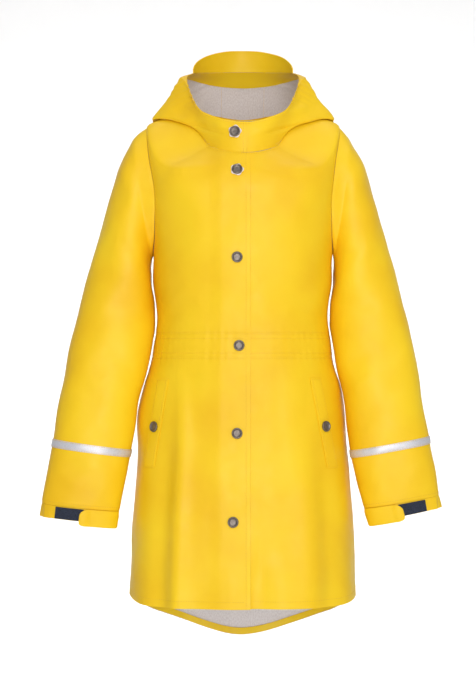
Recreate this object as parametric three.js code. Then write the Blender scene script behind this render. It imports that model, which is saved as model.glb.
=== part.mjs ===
// A child's long hooded raincoat in coated fabric, filled out as it is worn and open at neck, hem and cuffs.
// Millimetres, Z up. The front faces -Y and the wearer's left is +X. The origin is in the neck opening,
// level with the shoulders that carry the coat.
import * as THREE from 'three';

// Driving sizes
const fabric = 1.6; // coated fabric with its jersey back
const trim = 1; // tape, turned edges, welts and patches
const seamGap = 0.3; // between neighbouring pieces
const seamLap = 0.006; // of a station, about half the seam gap
const hairline = 0.1; // more room where one piece follows another's curve
const frontEdge = 10; // the overlapping front ends this far past the middle
const underEdge = -25; // and the front below it ends here
const hoodFrontEdge = 6;
const overlapRise = fabric + 0.5; // the overlapping front stands off the one below it
const overlapRamp = { start: -48, end: -28 }; // and comes up to that between these
const armholeHalfAngle = 30; // degrees, seen from above
const sleevePower = 2.15; // how far the corners of a sleeve's rings fill out
const armholeSteps = 10; // from underarm to shoulder, on each half of the armhole
const hoodCentreHalf = 32; // the middle panel of the hood is twice this wide
const turnedHem = 9;
const tapeWidth = 10;
const cap = { diameter: 15, height: 2.6, rim: 1.9, sides: 20 }; // of a snap
const flower = { radius: 9.4, dip: 1.5, petals: 5, points: 40 }; // the outline dips between petals
const weltWidth = 16;

// Rows of numbers under their column names.
function table(names, ...rows) {
  return rows.map((row) => Object.fromEntries(names.map((name, i) => [name, row[i]])));
}

const ringHeights = ['zFront', 'zFrontQuarter', 'zSide', 'zBackQuarter', 'zBack'];

// Heights and rings of the body, from the hem up to the neck seam. A ring reaches halfWidth to each side,
// front and back from its middle, and its corners fill out with power. Its height changes round the coat.
const bodyRings = table(
  ['halfWidth', 'middle', 'front', 'back', 'power', ...ringHeights],
  [161, 18, 132, 112, 2.7, -677, -677, -666, -708, -746],
  [158, 18, 130, 109, 2.7, -598, -597, -590, -622, -652],
  [151.5, 18, 126, 104, 2.6, -502, -501, -499, -518, -537],
  [144.5, 18, 120, 96, 2.5, -412, -411, -411, -420, -430],
  [138, 15, 113, 93, 2.5, -374, -374, -374, -378, -382],
  [131, 11, 107, 93, 2.4, -353, -353, -353, -354, -355],
  [125, 7, 102, 93, 2.4, -333, -333, -333, -333, -333],
  [121, 4, 98, 93, 2.4, -301, -301, -301, -301, -301],
  [119, 3, 101, 98, 2.4, -253, -253, -253, -253, -253],
  [126, 2, 105, 103, 2.4, -196, -195, -188, -192, -194],
  [134, 2, 106, 105, 2.4, -145, -138, -120, -126, -130],
  [138, 1, 102, 101, 2.4, -108, -98, -60, -80, -80],
  [137, 0, 94, 90, 2.3, -80, -72, -8, -40, -36],
  [102, 0, 87, 71, 2.15, -65, -56, 8, -9, -8],
  [66, 0, 80, 52, 2, -51, -40, 20, 13, 8],
);
const ringAt = { hem: 0, casingBottom: 6, casingTop: 7, underarm: 9, shoulder: 12, neck: 14 };

// Long soft folds of the body: where the crest is at its top and bottom, how wide and how high it is.
const bodyFolds = table(
  ['facing', 'xTop', 'xBottom', 'zTop', 'zBottom', 'width', 'height'],
  [-1, -84, -94, -400, -660, 13, 4.5],
  [-1, -104, -118, -400, -660, 15, -4],
  [-1, 84, 92, -380, -640, 20, 2.5],
  [-1, 108, 122, -400, -660, 16, -3],
  [1, -62, -86, -350, -720, 20, 5],
  [1, 38, 62, -350, -720, 22, 5],
  [1, -6, -12, -380, -720, 24, -5],
);

// Below the last snap the under front sinks away from the edge that lies over it.
const gape = { x: 16, width: 13, depth: 6, zTop: -570, zBottom: -680 };

// Sections of each sleeve below the armhole, each between an outer and an inner point and centred on y.
const sleeveRings = {
  right: table(
    ['outerX', 'outerZ', 'innerX', 'innerZ', 'y', 'halfDepth'],
    [158, -29, 129.5, -196, 2, 50],
    [172, -56, 130.5, -208, 1, 52],
    [189, -109, 129, -230, 0, 53],
    [204, -160, 125.5, -258, -2, 52],
    [220, -220, 124.5, -288, -6, 49],
    [235, -283, 127.5, -315, -12, 46],
    [246, -335, 136.5, -357, -18, 43],
    [255, -376, 146.5, -396, -22, 41],
    [262, -415, 151.5, -433, -25, 38],
    [268, -453, 157.5, -468, -28, 35],
    [276, -500, 166, -513, -30, 30],
    [282.5, -538, 173.5, -549, -31, 26],
    [284.5, -556, 176.5, -567, -31, 24],
    [285.5, -566, 178, -577, -31, 23],
  ),
  left: table(
    ['outerX', 'outerZ', 'innerX', 'innerZ', 'y', 'halfDepth'],
    [154, -29, 129.5, -196, 2, 50],
    [169, -56, 130, -208, 1, 52],
    [186, -109, 128, -230, 0, 53],
    [201, -160, 123.5, -258, -2, 52],
    [216, -216, 123, -286, -6, 49],
    [230, -278, 126, -310, -12, 46],
    [241, -330, 133, -354, -18, 43],
    [248, -372, 141.5, -394, -23, 41],
    [255, -411, 146, -432, -27, 38],
    [262, -449, 151.5, -469, -29, 35],
    [270, -490, 160, -510, -30, 30],
    [275, -527, 169, -545, -31, 26],
    [277.5, -544, 175, -564, -31, 24],
    [278.5, -553, 178, -574, -31, 23],
  ),
};
// Stations of the sleeve, counted from the first ring as 1, and how far pieces keep from its hem's seam.
const sleeveAt = {
  tape: 10, hemSeam: 12, end: 13, tabEnd: 13.6, seamLap: 0.008, patchLap: 0.05, tabLap: 0.02,
};
const sleeveStations = [0, 0.5, 1, 2, 3, 4, 5, 6, 7, 8, 9, 10, 11, sleeveAt.hemSeam - sleeveAt.seamLap];
const cuffColumns = { hem: 36, patch: 5, tab: 8, rows: 2 };

// Rings of the hood, from the neck seam out over the shoulders, round the fold that hangs there and up to
// its edge.
// Each is a round core, with its front, and a flare that runs out over the shoulders to a point.
const hoodRings = table(
  ['core', 'flare', 'front', 'back', ...ringHeights],
  [66, 40, 80, 52, -50.4, -39.4, 20.6, 13.6, 8.6],
  [67, 98, 81, 86, -41, -31, 10, -12, -34],
  [68, 126, 81, 119, -32, -20, 1, -62, -112],
  [69, 129, 81, 136, -27, -16, 5, -66, -122],
  [71, 121, 80.5, 151, -23, -9, 16, -36, -80],
  [74, 107, 79.5, 152, -18, -2, 34, 12, -14],
  [77, 94, 78, 138, -13, 3, 54, 56, 46],
  [79, 84, 76.5, 122, -10, 6, 63, 74, 72],
  [79, 60, 75, 110, -8, 8, 61, 79, 86],
);
const hoodEdge = 8; // ring of the hood's opening
const hoodBand = { from: 7, to: 7.98 }; // where its edge is turned in
const flareFront = 70; // the flare would meet the middle of the front here
const flarePower = 1.12;
const hoodBackPower = 2.2;
const hoodClearance = 3; // of the hood's lower layer from the shoulders it lies on
const seamClearance = 0.8; // less at the neck seam
const steepest = 0.2; // and no more than this slope raises it further
const leaving = 0.5; // of a station, to the full clearance
const sharpness = 12; // of the turn from core to flare

const brim = {
  halfWidth: 73, height: 30, power: 2.1, lean: -7, taper: 0.97, end: 0.02, rows: 4, columns: 14,
};
const layerGap = 0.4; // under what lies on a curved panel
const tapeStationLength = 38; // of the sleeve between its rings at the tape
const gather = { height: 1.4, reach: 48, wavesPerTurn: 10 };
const tab = { from: 168, to: 92 }; // degrees round the sleeve from its outer side
const patch = { from: 97, to: 55 };
const tabRamp = { start: 2, end: 12 }; // degrees past the patch, over which the tab comes down to the cuff
const pocket = {
  right: { xTop: -111, zTop: -364, xBottom: -131, zBottom: -486 },
  left: { xTop: 100, zTop: -362, xBottom: 124, zBottom: -486 },
};
const frontSnaps = [
  { x: -8.2, z: -76 },
  { x: -8.2, z: -196 },
  { x: -5.5, z: -317 },
  { x: -8.2, z: -437 },
  { x: -13.6, z: -558 },
];
const hoodSnap = { x: -11, station: 4 };
const pocketSnap = 0.46; // of the welt's length, from its lower end
const bisections = 30;

const finishes = {
  coatedYellow: { color: 0xf7cf2a, roughness: 0.42, metalness: 0 },
  navyHook: { color: 0x1c2233, roughness: 0.95, metalness: 0 },
  reflective: { color: 0xd9d7de, roughness: 0.35, metalness: 0.3 },
  darkNickel: { color: 0x6f6a66, roughness: 0.38, metalness: 0.9 },
  petalWhite: { color: 0xf1e3dc, roughness: 0.5, metalness: 0 },
};

// Curves through tables
function smoothAt(places, values, place) {
  let k = 0;
  while (k < places.length - 2 && place > places[k + 1]) k += 1;
  const secant = (i) => (values[i + 1] - values[i]) / (places[i + 1] - places[i]);
  const slope = (i) => {
    if (i === 0) return secant(0);
    if (i === places.length - 1) return secant(i - 1);
    const before = secant(i - 1);
    const after = secant(i);
    return before * after <= 0 ? 0 : (2 * before * after) / (before + after);
  };
  const span = places[k + 1] - places[k];
  const t = (place - places[k]) / span;
  const rise = t * t * (3 - 2 * t);
  const leave = t * (1 - t) * (1 - t) * span * slope(k);
  const arrive = t * t * (t - 1) * span * slope(k + 1);
  return values[k] + (values[k + 1] - values[k]) * rise + leave + arrive;
}

function columnAt(rows, name, station) {
  return smoothAt(rows.map((row, i) => i), rows.map((row) => row[name]), station);
}

// From 0 at one value to 1 at the other, which may lie below it.
function smoothStep(from, to, value) {
  const t = THREE.MathUtils.clamp((value - from) / (to - from), 0, 1);
  return t * t * (3 - 2 * t);
}

const degrees = Math.PI / 180;

// Turns from 0 at the middle of the front, over 1 at either side, to 2 at the middle of the back.
function turnOf(angle) {
  const height = Math.asin(THREE.MathUtils.clamp(Math.sin(angle * degrees), -1, 1)) / degrees;
  return 1 + height / 90;
}

function ringHeight(rows, angle, station) {
  const turn = turnOf(angle);
  // mirrored ends keep the curve level at the middle of the front and back
  const heights = ringHeights.map((name) => columnAt(rows, name, station));
  const places = [-0.5, 0, 0.5, 1, 1.5, 2, 2.5];
  return smoothAt(places, [heights[1], ...heights, heights[3]], turn);
}

function roundedReach(angle, power) {
  const across = Math.abs(Math.cos(angle * degrees));
  const deep = Math.abs(Math.sin(angle * degrees));
  return (across ** power + deep ** power) ** (-1 / power);
}

// The body
function plainBodyPoint(angle, station) {
  const at = (name) => columnAt(bodyRings, name, station);
  const reach = roundedReach(angle, at('power'));
  const deep = Math.sin(angle * degrees);
  const depth = deep < 0 ? at('front') : at('back');
  const x = at('halfWidth') * reach * Math.cos(angle * degrees);
  const y = at('middle') + depth * reach * deep;
  return new THREE.Vector3(x, y, ringHeight(bodyRings, angle, station));
}

function surfaceNormal(surface, u, v, du = 0.5, dv = 0.02) {
  const alongU = surface(u + du, v).sub(surface(u - du, v));
  const alongV = surface(u, v + dv).sub(surface(u, v - dv));
  return alongU.cross(alongV).normalize();
}

function foldHeight(point) {
  let height = 0;
  for (const fold of bodyFolds) {
    if (point.y * fold.facing <= 0) continue;
    const t = THREE.MathUtils.clamp((fold.zTop - point.z) / (fold.zTop - fold.zBottom), 0, 1);
    const crest = THREE.MathUtils.lerp(fold.xTop, fold.xBottom, t);
    const off = (point.x - crest) / fold.width;
    height += fold.height * smoothStep(0, 0.6, t) * Math.exp(-off * off);
  }
  return height;
}

function bodyPoint(angle, station) {
  const point = plainBodyPoint(angle, station);
  const height = foldHeight(point);
  if (height === 0) return point;
  return point.addScaledVector(surfaceNormal(plainBodyPoint, angle, station), height);
}

function raisedBodyPoint(angle, station, rise) {
  return bodyPoint(angle, station).addScaledVector(surfaceNormal(bodyPoint, angle, station), rise);
}

function overlapHeight(x) {
  return overlapRise * smoothStep(overlapRamp.start, overlapRamp.end, x);
}

function overlappingPoint(angle, station) {
  const point = bodyPoint(angle, station);
  point.y -= overlapHeight(point.x);
  return point;
}

// The angle near the middle of the front (-90) or back (90) where a ring passes x.
function angleAtX(rows, x, station, middle) {
  const lean = Math.asin(x / columnAt(rows, 'halfWidth', station)) / degrees;
  return middle < 0 ? middle + lean : middle - lean;
}

// The angle on the front where the body passes x, also well off the middle.
function frontAngleAtX(x, station) {
  let inner = -90;
  let outer = 0;
  for (let i = 0; i < bisections; i += 1) {
    const middle = (inner + outer) / 2;
    if (bodyPoint(middle, station).x < Math.abs(x)) inner = middle;
    else outer = middle;
  }
  return x < 0 ? -180 - inner : inner;
}

function stationAtHeight(angle, z) {
  let low = 0;
  let high = bodyRings.length - 1;
  for (let i = 0; i < bisections; i += 1) {
    const middle = (low + high) / 2;
    if (bodyPoint(angle, middle).z < z) low = middle;
    else high = middle;
  }
  return low;
}

function stationsBetween(from, to, count) {
  return Array.from({ length: count + 1 }, (unused, i) => from + ((to - from) * i) / count);
}

function evenHeights(from, to, count) {
  const side = 0;
  const start = plainBodyPoint(side, from).z;
  const end = plainBodyPoint(side, to).z;
  return stationsBetween(start, end, count).map((z) => stationAtHeight(side, z));
}

// Half the angle that the armhole takes out of a ring.
function armholeAngle(station) {
  const middle = (ringAt.shoulder + ringAt.underarm) / 2;
  const half = (ringAt.shoulder - ringAt.underarm) / 2;
  const off = (station - middle) / half;
  return Math.abs(off) >= 1 ? 0 : armholeHalfAngle * Math.sqrt(1 - off * off);
}

function armholeStation(alpha) {
  const middle = (ringAt.shoulder + ringAt.underarm) / 2;
  const half = (ringAt.shoulder - ringAt.underarm) / 2;
  return middle + half * Math.cos(alpha * degrees);
}

const armholeStations = stationsBetween(180, 0, armholeSteps).map(armholeStation);

// Walls
function samples(surface, rows, turned = 1) {
  return rows.map((row) => row.map(([u, v]) => ({
    point: surface(u, v),
    normal: surfaceNormal(surface, u, v).multiplyScalar(turned),
  })));
}

function movedOut(grid, rise) {
  return grid.map((row) => row.map(({ point, normal }) => ({
    point: point.clone().addScaledVector(normal, rise),
    normal,
  })));
}

// A closed wall whose outer face passes the grid's points, with its thickness against their normals.
function wall(grid, thickness, closed = false) {
  const rows = grid.length;
  const columns = grid[0].length;
  const outer = grid.flat().map(({ point }) => point);
  const inner = movedOut(grid, -thickness).flat().map(({ point }) => point);
  const positions = [...outer, ...inner].flatMap((p) => [p.x, p.y, p.z]);
  const faces = [];
  const at = (i, j) => i * columns + (j % columns);
  const under = (i, j) => rows * columns + at(i, j);
  const quad = (a, b, c, d) => faces.push(a, b, c, a, c, d);
  const lastColumn = closed ? columns : columns - 1;
  for (let i = 0; i < rows - 1; i += 1) {
    for (let j = 0; j < lastColumn; j += 1) {
      quad(at(i, j), at(i, j + 1), at(i + 1, j + 1), at(i + 1, j));
      quad(under(i, j), under(i + 1, j), under(i + 1, j + 1), under(i, j + 1));
    }
  }
  const top = rows - 1;
  for (let j = 0; j < lastColumn; j += 1) {
    quad(at(0, j + 1), at(0, j), under(0, j), under(0, j + 1));
    quad(at(top, j), at(top, j + 1), under(top, j + 1), under(top, j));
  }
  if (!closed) {
    for (let i = 0; i < rows - 1; i += 1) {
      quad(at(i, 0), at(i + 1, 0), under(i + 1, 0), under(i, 0));
      quad(at(i + 1, lastColumn), at(i, lastColumn), under(i, lastColumn), under(i + 1, lastColumn));
    }
  }
  const geometry = new THREE.BufferGeometry();
  geometry.setAttribute('position', new THREE.Float32BufferAttribute(positions, 3));
  geometry.setIndex(faces);
  geometry.computeVertexNormals();
  return geometry;
}

function gridRows(stations, columns, angleAt) {
  const fractions = stationsBetween(0, 1, columns);
  return stations.map((station) => fractions.map((u) => [angleAt(u, station), station]));
}

const coat = new THREE.Group();

function addPiece(name, geometry, finish) {
  const material = new THREE.MeshStandardMaterial({ name: finish, ...finishes[finish] });
  const mesh = new THREE.Mesh(geometry, material);
  mesh.name = name;
  coat.add(mesh);
  return mesh;
}

// Body panels
const halfGapAngle = (station) => (seamGap / 2 / columnAt(bodyRings, 'halfWidth', station)) / degrees;

// Columns close together at the closure, at these places from the middle, and even from there to the side.
const closureColumns = {
  right: [frontEdge, 0, -10, underEdge, overlapRamp.end - 3, -38, overlapRamp.start],
  left: [underEdge, -10, 0, frontEdge, gape.x + 4, gape.x + 14, 44],
};
const columnsToSide = 6;
const backColumns = 18;
const bandRows = { skirt: 9, casing: 2, waistToArm: 4, yoke: 4 };

function frontAngles(side, station, edge) {
  const atClosure = closureColumns[side].map((x) => angleAtX(bodyRings, x, station, -90));
  const last = atClosure[atClosure.length - 1];
  return [...atClosure, ...stationsBetween(last, edge, columnsToSide).slice(1)];
}

function frontRightRow(station) {
  const edge = -180 + Math.max(armholeAngle(station), halfGapAngle(station));
  return frontAngles('right', station, edge).reverse().map((angle) => [angle, station]);
}

function frontLeftRow(station) {
  const edge = -Math.max(armholeAngle(station), halfGapAngle(station));
  return frontAngles('left', station, edge).map((angle) => [angle, station]);
}

function underFrontPoint(angle, station) {
  const point = bodyPoint(angle, station);
  const sink = gape.depth * smoothStep(gape.zTop, gape.zBottom, point.z);
  const off = (point.x - gape.x) / gape.width;
  point.y += sink * Math.exp(-off * off);
  return point;
}

function backAngle(u, station) {
  const open = Math.max(armholeAngle(station), halfGapAngle(station));
  return THREE.MathUtils.lerp(open, 180 - open, u);
}

function trimmed(stations) {
  const ends = [...stations];
  ends[0] += seamLap;
  ends[ends.length - 1] -= seamLap;
  return ends;
}

function addBody() {
  const skirt = trimmed(evenHeights(ringAt.hem, ringAt.casingBottom, bandRows.skirt));
  const casing = trimmed(stationsBetween(ringAt.casingBottom, ringAt.casingTop, bandRows.casing));
  const waistToArm = evenHeights(ringAt.casingTop, ringAt.underarm, bandRows.waistToArm);
  const yoke = stationsBetween(ringAt.shoulder, ringAt.neck, bandRows.yoke);
  const bodice = trimmed([...waistToArm, ...armholeStations.slice(1, -1), ...yoke]);
  const bands = { skirt, waist_casing: casing, bodice };
  for (const [band, stations] of Object.entries(bands)) {
    const right = samples(overlappingPoint, stations.map(frontRightRow));
    const left = samples(underFrontPoint, stations.map(frontLeftRow));
    const back = samples(bodyPoint, gridRows(stations, backColumns, backAngle));
    addPiece(`${band}_front_right`, wall(right, fabric), 'coatedYellow');
    addPiece(`${band}_front_left`, wall(left, fabric), 'coatedYellow');
    addPiece(`${band}_back`, wall(back, fabric), 'coatedYellow');
  }
}

// The edge of the tail is turned in, so a strip of the coated side shows on the inside.
function addTurnedHem() {
  const inside = fabric + seamGap + hairline;
  const rise = turnedHem / (plainBodyPoint(0, 1).z - plainBodyPoint(0, 0).z);
  const strip = samples(bodyPoint, gridRows([2 * seamLap, rise], backColumns, backAngle));
  addPiece('skirt_back_turned_hem', wall(movedOut(strip, -inside), trim), 'coatedYellow');
}

// Sleeves
function sleeveRingPoint(rows, side, alpha, station) {
  const at = (name) => columnAt(rows, name, station - 1);
  const outer = new THREE.Vector3(side * at('outerX'), at('y'), at('outerZ'));
  const inner = new THREE.Vector3(side * at('innerX'), at('y'), at('innerZ'));
  const centre = outer.clone().add(inner).multiplyScalar(0.5);
  const reach = roundedReach(alpha, sleevePower);
  const across = outer.sub(centre).multiplyScalar(reach * Math.cos(alpha * degrees));
  const forward = -at('halfDepth') * reach * Math.sin(alpha * degrees);
  return centre.add(across).add(new THREE.Vector3(0, forward, 0));
}

function armholePoint(side, alpha) {
  const station = armholeStation(alpha);
  const open = armholeHalfAngle * Math.sin(alpha * degrees);
  const angle = side > 0 ? -open : 180 + open;
  const edge = raisedBodyPoint(angle, station, seamGap + hairline);
  const hub = plainBodyPoint(side > 0 ? 0 : 180, armholeStation(90));
  const inward = hub.sub(edge);
  inward.x = 0;
  return edge.addScaledVector(inward.normalize(), seamGap);
}

// From the armhole (station 0) to the cuff. Alpha runs from the outer side over the front to the inner side.
function sleevePoint(name, alpha, station) {
  const side = name === 'left' ? 1 : -1;
  const rows = sleeveRings[name];
  if (station >= 1) return sleeveRingPoint(rows, side, alpha, station);
  const start = armholePoint(side, alpha);
  const end = sleeveRingPoint(rows, side, alpha, 1);
  const onward = sleeveRingPoint(rows, side, alpha, 1.05).sub(end).multiplyScalar(20);
  const leave = end.clone().sub(start);
  const t = station;
  return start.multiplyScalar((1 + 2 * t) * (1 - t) ** 2)
    .addScaledVector(leave, t * (1 - t) ** 2)
    .addScaledVector(end, t * t * (3 - 2 * t))
    .addScaledVector(onward, t * t * (t - 1));
}

// The rows run the other way round on the right sleeve, so that the outer face faces out on both.
function sleeveGrid(name, stations, alphas) {
  const order = name === 'left' ? alphas : [...alphas].reverse();
  const surface = (alpha, station) => sleevePoint(name, alpha, station);
  const rows = stations.map((station) => order.map((alpha) => [alpha, station]));
  return { order, grid: samples(surface, rows, name === 'left' ? 1 : -1) };
}

const roundTheSleeve = stationsBetween(0, 360, 2 * armholeSteps).slice(0, -1);

// The elastic at the outer side of the cuff draws the cloth into small gathers.
function gatherHeight(alpha) {
  const off = ((alpha + 180) % 360) - 180;
  const fade = Math.exp(-((off / gather.reach) ** 2));
  return gather.height * fade * Math.cos(off * gather.wavesPerTurn * degrees);
}

function raisedBy(grid, order, riseAt) {
  return grid.map((row) => row.map(({ point, normal }, j) => ({
    point: point.clone().addScaledVector(normal, riseAt(order[j])),
    normal,
  })));
}

function addSleeve(name) {
  const tube = sleeveGrid(name, sleeveStations, roundTheSleeve).grid;
  addPiece(`sleeve_${name}`, wall(tube, fabric, true), 'coatedYellow');

  const hemTop = sleeveAt.hemSeam + sleeveAt.seamLap;
  const hemStations = [hemTop, (sleeveAt.hemSeam + sleeveAt.end) / 2, sleeveAt.end];
  const hem = sleeveGrid(name, hemStations, stationsBetween(0, 360, cuffColumns.hem).slice(0, -1));
  const gathered = raisedBy(hem.grid, hem.order, gatherHeight);
  addPiece(`sleeve_hem_${name}`, wall(gathered, fabric, true), 'coatedYellow');

  const half = tapeWidth / 2 / tapeStationLength;
  const tapeStations = [sleeveAt.tape - half, sleeveAt.tape, sleeveAt.tape + half];
  const tape = movedOut(sleeveGrid(name, tapeStations, roundTheSleeve).grid, trim + layerGap);
  addPiece(`reflective_tape_${name}`, wall(tape, trim, true), 'reflective');

  const patchTop = sleeveAt.hemSeam + sleeveAt.patchLap;
  const patchStations = stationsBetween(patchTop, sleeveAt.end - sleeveAt.patchLap, cuffColumns.rows);
  const patchAngles = stationsBetween(patch.to, patch.from, cuffColumns.patch);
  const patchGrid = sleeveGrid(name, patchStations, patchAngles).grid;
  const patchRise = trim + 2 * layerGap;
  addPiece(`cuff_patch_${name}`, wall(movedOut(patchGrid, patchRise), trim), 'navyHook');

  const tabStations = stationsBetween(sleeveAt.hemSeam + sleeveAt.tabLap, sleeveAt.tabEnd, cuffColumns.rows);
  const tabGrid = sleeveGrid(name, tabStations, stationsBetween(tab.to, tab.from, cuffColumns.tab));
  const overPatch = (alpha) => 1 - smoothStep(patch.from + tabRamp.start, patch.from + tabRamp.end, alpha);
  const tabRise = (alpha) => fabric + layerGap + patchRise * overPatch(alpha);
  addPiece(`cuff_tab_${name}`, wall(raisedBy(tabGrid.grid, tabGrid.order, tabRise), fabric), 'coatedYellow');
}

// The hood
// The lowest that a layer may lie over the shoulders at a place, clear of them by a distance.
function lowestOver(x, y, clear) {
  const ratio = (station) => {
    const at = (name) => columnAt(bodyRings, name, station);
    const offset = y - at('middle');
    const depth = offset < 0 ? at('front') : at('back');
    return Math.abs(x / at('halfWidth')) ** at('power') + Math.abs(offset / depth) ** at('power');
  };
  const lowest = ringAt.shoulder - 1;
  if (ratio(ringAt.neck) < 1 || ratio(lowest) > 1) return -Infinity;
  let outside = ringAt.neck;
  let within = lowest;
  for (let i = 0; i < bisections; i += 1) {
    const middle = (outside + within) / 2;
    if (ratio(middle) > 1) outside = middle;
    else within = middle;
  }
  const at = (name) => columnAt(bodyRings, name, within);
  const depth = y < at('middle') ? at('front') : at('back');
  const angle = Math.atan2((y - at('middle')) / depth, x / at('halfWidth')) / degrees;
  const upright = surfaceNormal(plainBodyPoint, angle, within).z;
  return ringHeight(bodyRings, angle, within) + clear / Math.max(upright, steepest);
}

// The larger of two reaches, eased where they meet.
function blendedReach(one, other) {
  return (one ** sharpness + other ** sharpness) ** (1 / sharpness);
}

function hoodReach(angle, station) {
  const at = (name) => columnAt(hoodRings, name, station);
  const across = Math.abs(Math.cos(angle * degrees));
  const deep = Math.abs(Math.sin(angle * degrees));
  const side = blendedReach(at('core'), at('flare'));
  if (Math.sin(angle * degrees) > 0) {
    const power = hoodBackPower;
    return ((across / side) ** power + (deep / at('back')) ** power) ** (-1 / power);
  }
  const core = Math.hypot(across / at('core'), deep / at('front'));
  const flare = (across / at('flare')) ** flarePower + (deep / flareFront) ** flarePower;
  return blendedReach(1 / core, flare ** (-1 / flarePower));
}

function hoodPoint(angle, station) {
  const reach = hoodReach(angle, station);
  const x = reach * Math.cos(angle * degrees);
  const y = reach * Math.sin(angle * degrees);
  const z = ringHeight(hoodRings, angle, station);
  const clear = THREE.MathUtils.lerp(seamClearance, hoodClearance, smoothStep(0, leaving, station));
  return new THREE.Vector3(x, y, Math.max(z, lowestOver(x, y, clear)));
}

function overlappingHoodPoint(angle, station) {
  const point = hoodPoint(angle, station);
  if (point.y < 0) point.y -= overlapHeight(point.x);
  return point;
}

// The angle near the middle of the front (-90) or back (90) where a ring of the hood passes x.
function hoodAngleAtX(x, station, middle) {
  let angle = middle;
  for (let i = 0; i < 12; i += 1) {
    angle = middle - Math.sign(middle) * (Math.asin(x / hoodReach(angle, station)) / degrees);
  }
  return angle;
}

const hoodStations = [0, 0.35, 0.6, 0.8, 1, 1.2, 1.5, 2, 2.5, 3, 4, 5, 6, 7, 8];
const hoodClosure = [hoodFrontEdge, -4, -14, underEdge, overlapRamp.end - 3, -38, overlapRamp.start];
const hoodUnderClosure = [underEdge, -14, -4, hoodFrontEdge, 16, 27, 38];
const hoodColumns = { side: 13, centre: 4 };

function hoodLeftAngles(station) {
  const closure = hoodUnderClosure.map((x) => hoodAngleAtX(x, station, -90));
  const seam = hoodAngleAtX(hoodCentreHalf + seamGap, station, 90);
  const last = closure[closure.length - 1];
  return [...closure, ...stationsBetween(last, seam, hoodColumns.side).slice(1)];
}

function hoodRightAngles(station) {
  const closure = hoodClosure.map((x) => 360 + hoodAngleAtX(x, station, -90)).reverse();
  const seam = hoodAngleAtX(-hoodCentreHalf - seamGap, station, 90);
  return [...stationsBetween(seam, closure[0], hoodColumns.side).slice(0, -1), ...closure];
}

function hoodCentreAngles(station) {
  const start = hoodAngleAtX(hoodCentreHalf - seamGap, station, 90);
  return stationsBetween(start, 180 - start, hoodColumns.centre);
}

function hoodGrid(surface, stations, anglesAt) {
  return samples(surface, stations.map((station) => anglesAt(station).map((angle) => [angle, station])));
}

function addHood() {
  const right = hoodGrid(overlappingHoodPoint, hoodStations, hoodRightAngles);
  const left = hoodGrid(hoodPoint, hoodStations, hoodLeftAngles);
  const centre = hoodGrid(hoodPoint, hoodStations, hoodCentreAngles);
  addPiece('hood_side_right', wall(right, fabric), 'coatedYellow');
  addPiece('hood_side_left', wall(left, fabric), 'coatedYellow');
  addPiece('hood_centre', wall(centre, fabric), 'coatedYellow');
}

// The edge of the hood is turned in all round, from the under front to just short of it on the other side.
function addHoodHem() {
  const beyondClosure = (station) => hoodRightAngles(station).slice(0, -4);
  const allRound = (station) => [
    ...hoodLeftAngles(station), ...hoodCentreAngles(station), ...beyondClosure(station),
  ];
  const strip = hoodGrid(hoodPoint, [hoodBand.from, hoodBand.to], allRound);
  addPiece('hood_turned_hem', wall(movedOut(strip, -fabric - layerGap), trim), 'coatedYellow');
}

function addBrim() {
  const brimPoint = (u, row) => {
    const across = 1 - 2 * u;
    const angle = hoodAngleAtX(across * brim.halfWidth, hoodEdge, 90);
    const base = hoodPoint(angle, hoodEdge);
    const fall = Math.min(Math.abs(across * brim.taper), 1) ** brim.power;
    const rise = brim.height * (1 - fall) ** (1 / brim.power);
    return base.add(new THREE.Vector3(0, brim.lean * row * (rise / brim.height), 2 * seamGap + row * rise));
  };
  const places = stationsBetween(brim.end, 1 - brim.end, brim.columns);
  const rows = stationsBetween(0, 1, brim.rows).map((row) => places.map((u) => [u, row]));
  const grid = rows.map((row) => row.map(([u, v]) => ({
    point: brimPoint(u, v),
    normal: surfaceNormal(brimPoint, u, v, 0.01),
  })));
  addPiece('hood_brim', wall(grid, fabric), 'coatedYellow');
}

// Pockets
function weltPoint(name, across, along) {
  const line = pocket[name];
  const z = THREE.MathUtils.lerp(line.zBottom, line.zTop, along);
  const x = THREE.MathUtils.lerp(line.xBottom, line.xTop, along) + across;
  const guess = stationAtHeight(frontAngleAtX(x, 3), z);
  const station = stationAtHeight(frontAngleAtX(x, guess), z);
  return { angle: frontAngleAtX(x, station), station };
}

function addWelts() {
  for (const name of ['right', 'left']) {
    const rows = stationsBetween(0, 1, 10).map((along) => stationsBetween(-0.5, 0.5, 2).map((u) => {
      const { angle, station } = weltPoint(name, u * weltWidth, along);
      return [angle, station];
    }));
    const lying = samples(bodyPoint, rows);
    addPiece(`pocket_welt_${name}`, wall(movedOut(lying, trim + 2 * layerGap), trim), 'coatedYellow');
  }
}

// Snaps and the flower washers
function snapGeometry() {
  const r = cap.diameter / 2;
  const h = cap.height;
  const rim = cap.rim;
  const profile = [
    [0, 0],
    [r, 0],
    [r, h * 0.55],
    [r - rim * 0.35, h],
    [r - rim, h * 0.9],
    [r - rim * 1.4, h * 0.55],
    [0, h * 0.45],
  ];
  const turned = new THREE.LatheGeometry(profile.map(([x, y]) => new THREE.Vector2(x, y)), cap.sides);
  return turned.rotateX(Math.PI / 2);
}

function flowerGeometry() {
  const outline = new THREE.Shape();
  for (let i = 0; i < flower.points; i += 1) {
    const angle = (i / flower.points) * 2 * Math.PI;
    const radius = flower.radius - flower.dip * (0.5 - 0.5 * Math.cos(flower.petals * angle));
    outline[i ? 'lineTo' : 'moveTo'](radius * Math.cos(angle), radius * Math.sin(angle));
  }
  return new THREE.ExtrudeGeometry(outline, { depth: trim, bevelEnabled: false, steps: 1 });
}

function seat(mesh, point, normal, rise) {
  mesh.position.copy(point).addScaledVector(normal, rise);
  mesh.quaternion.setFromUnitVectors(new THREE.Vector3(0, 0, 1), normal);
}

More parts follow.
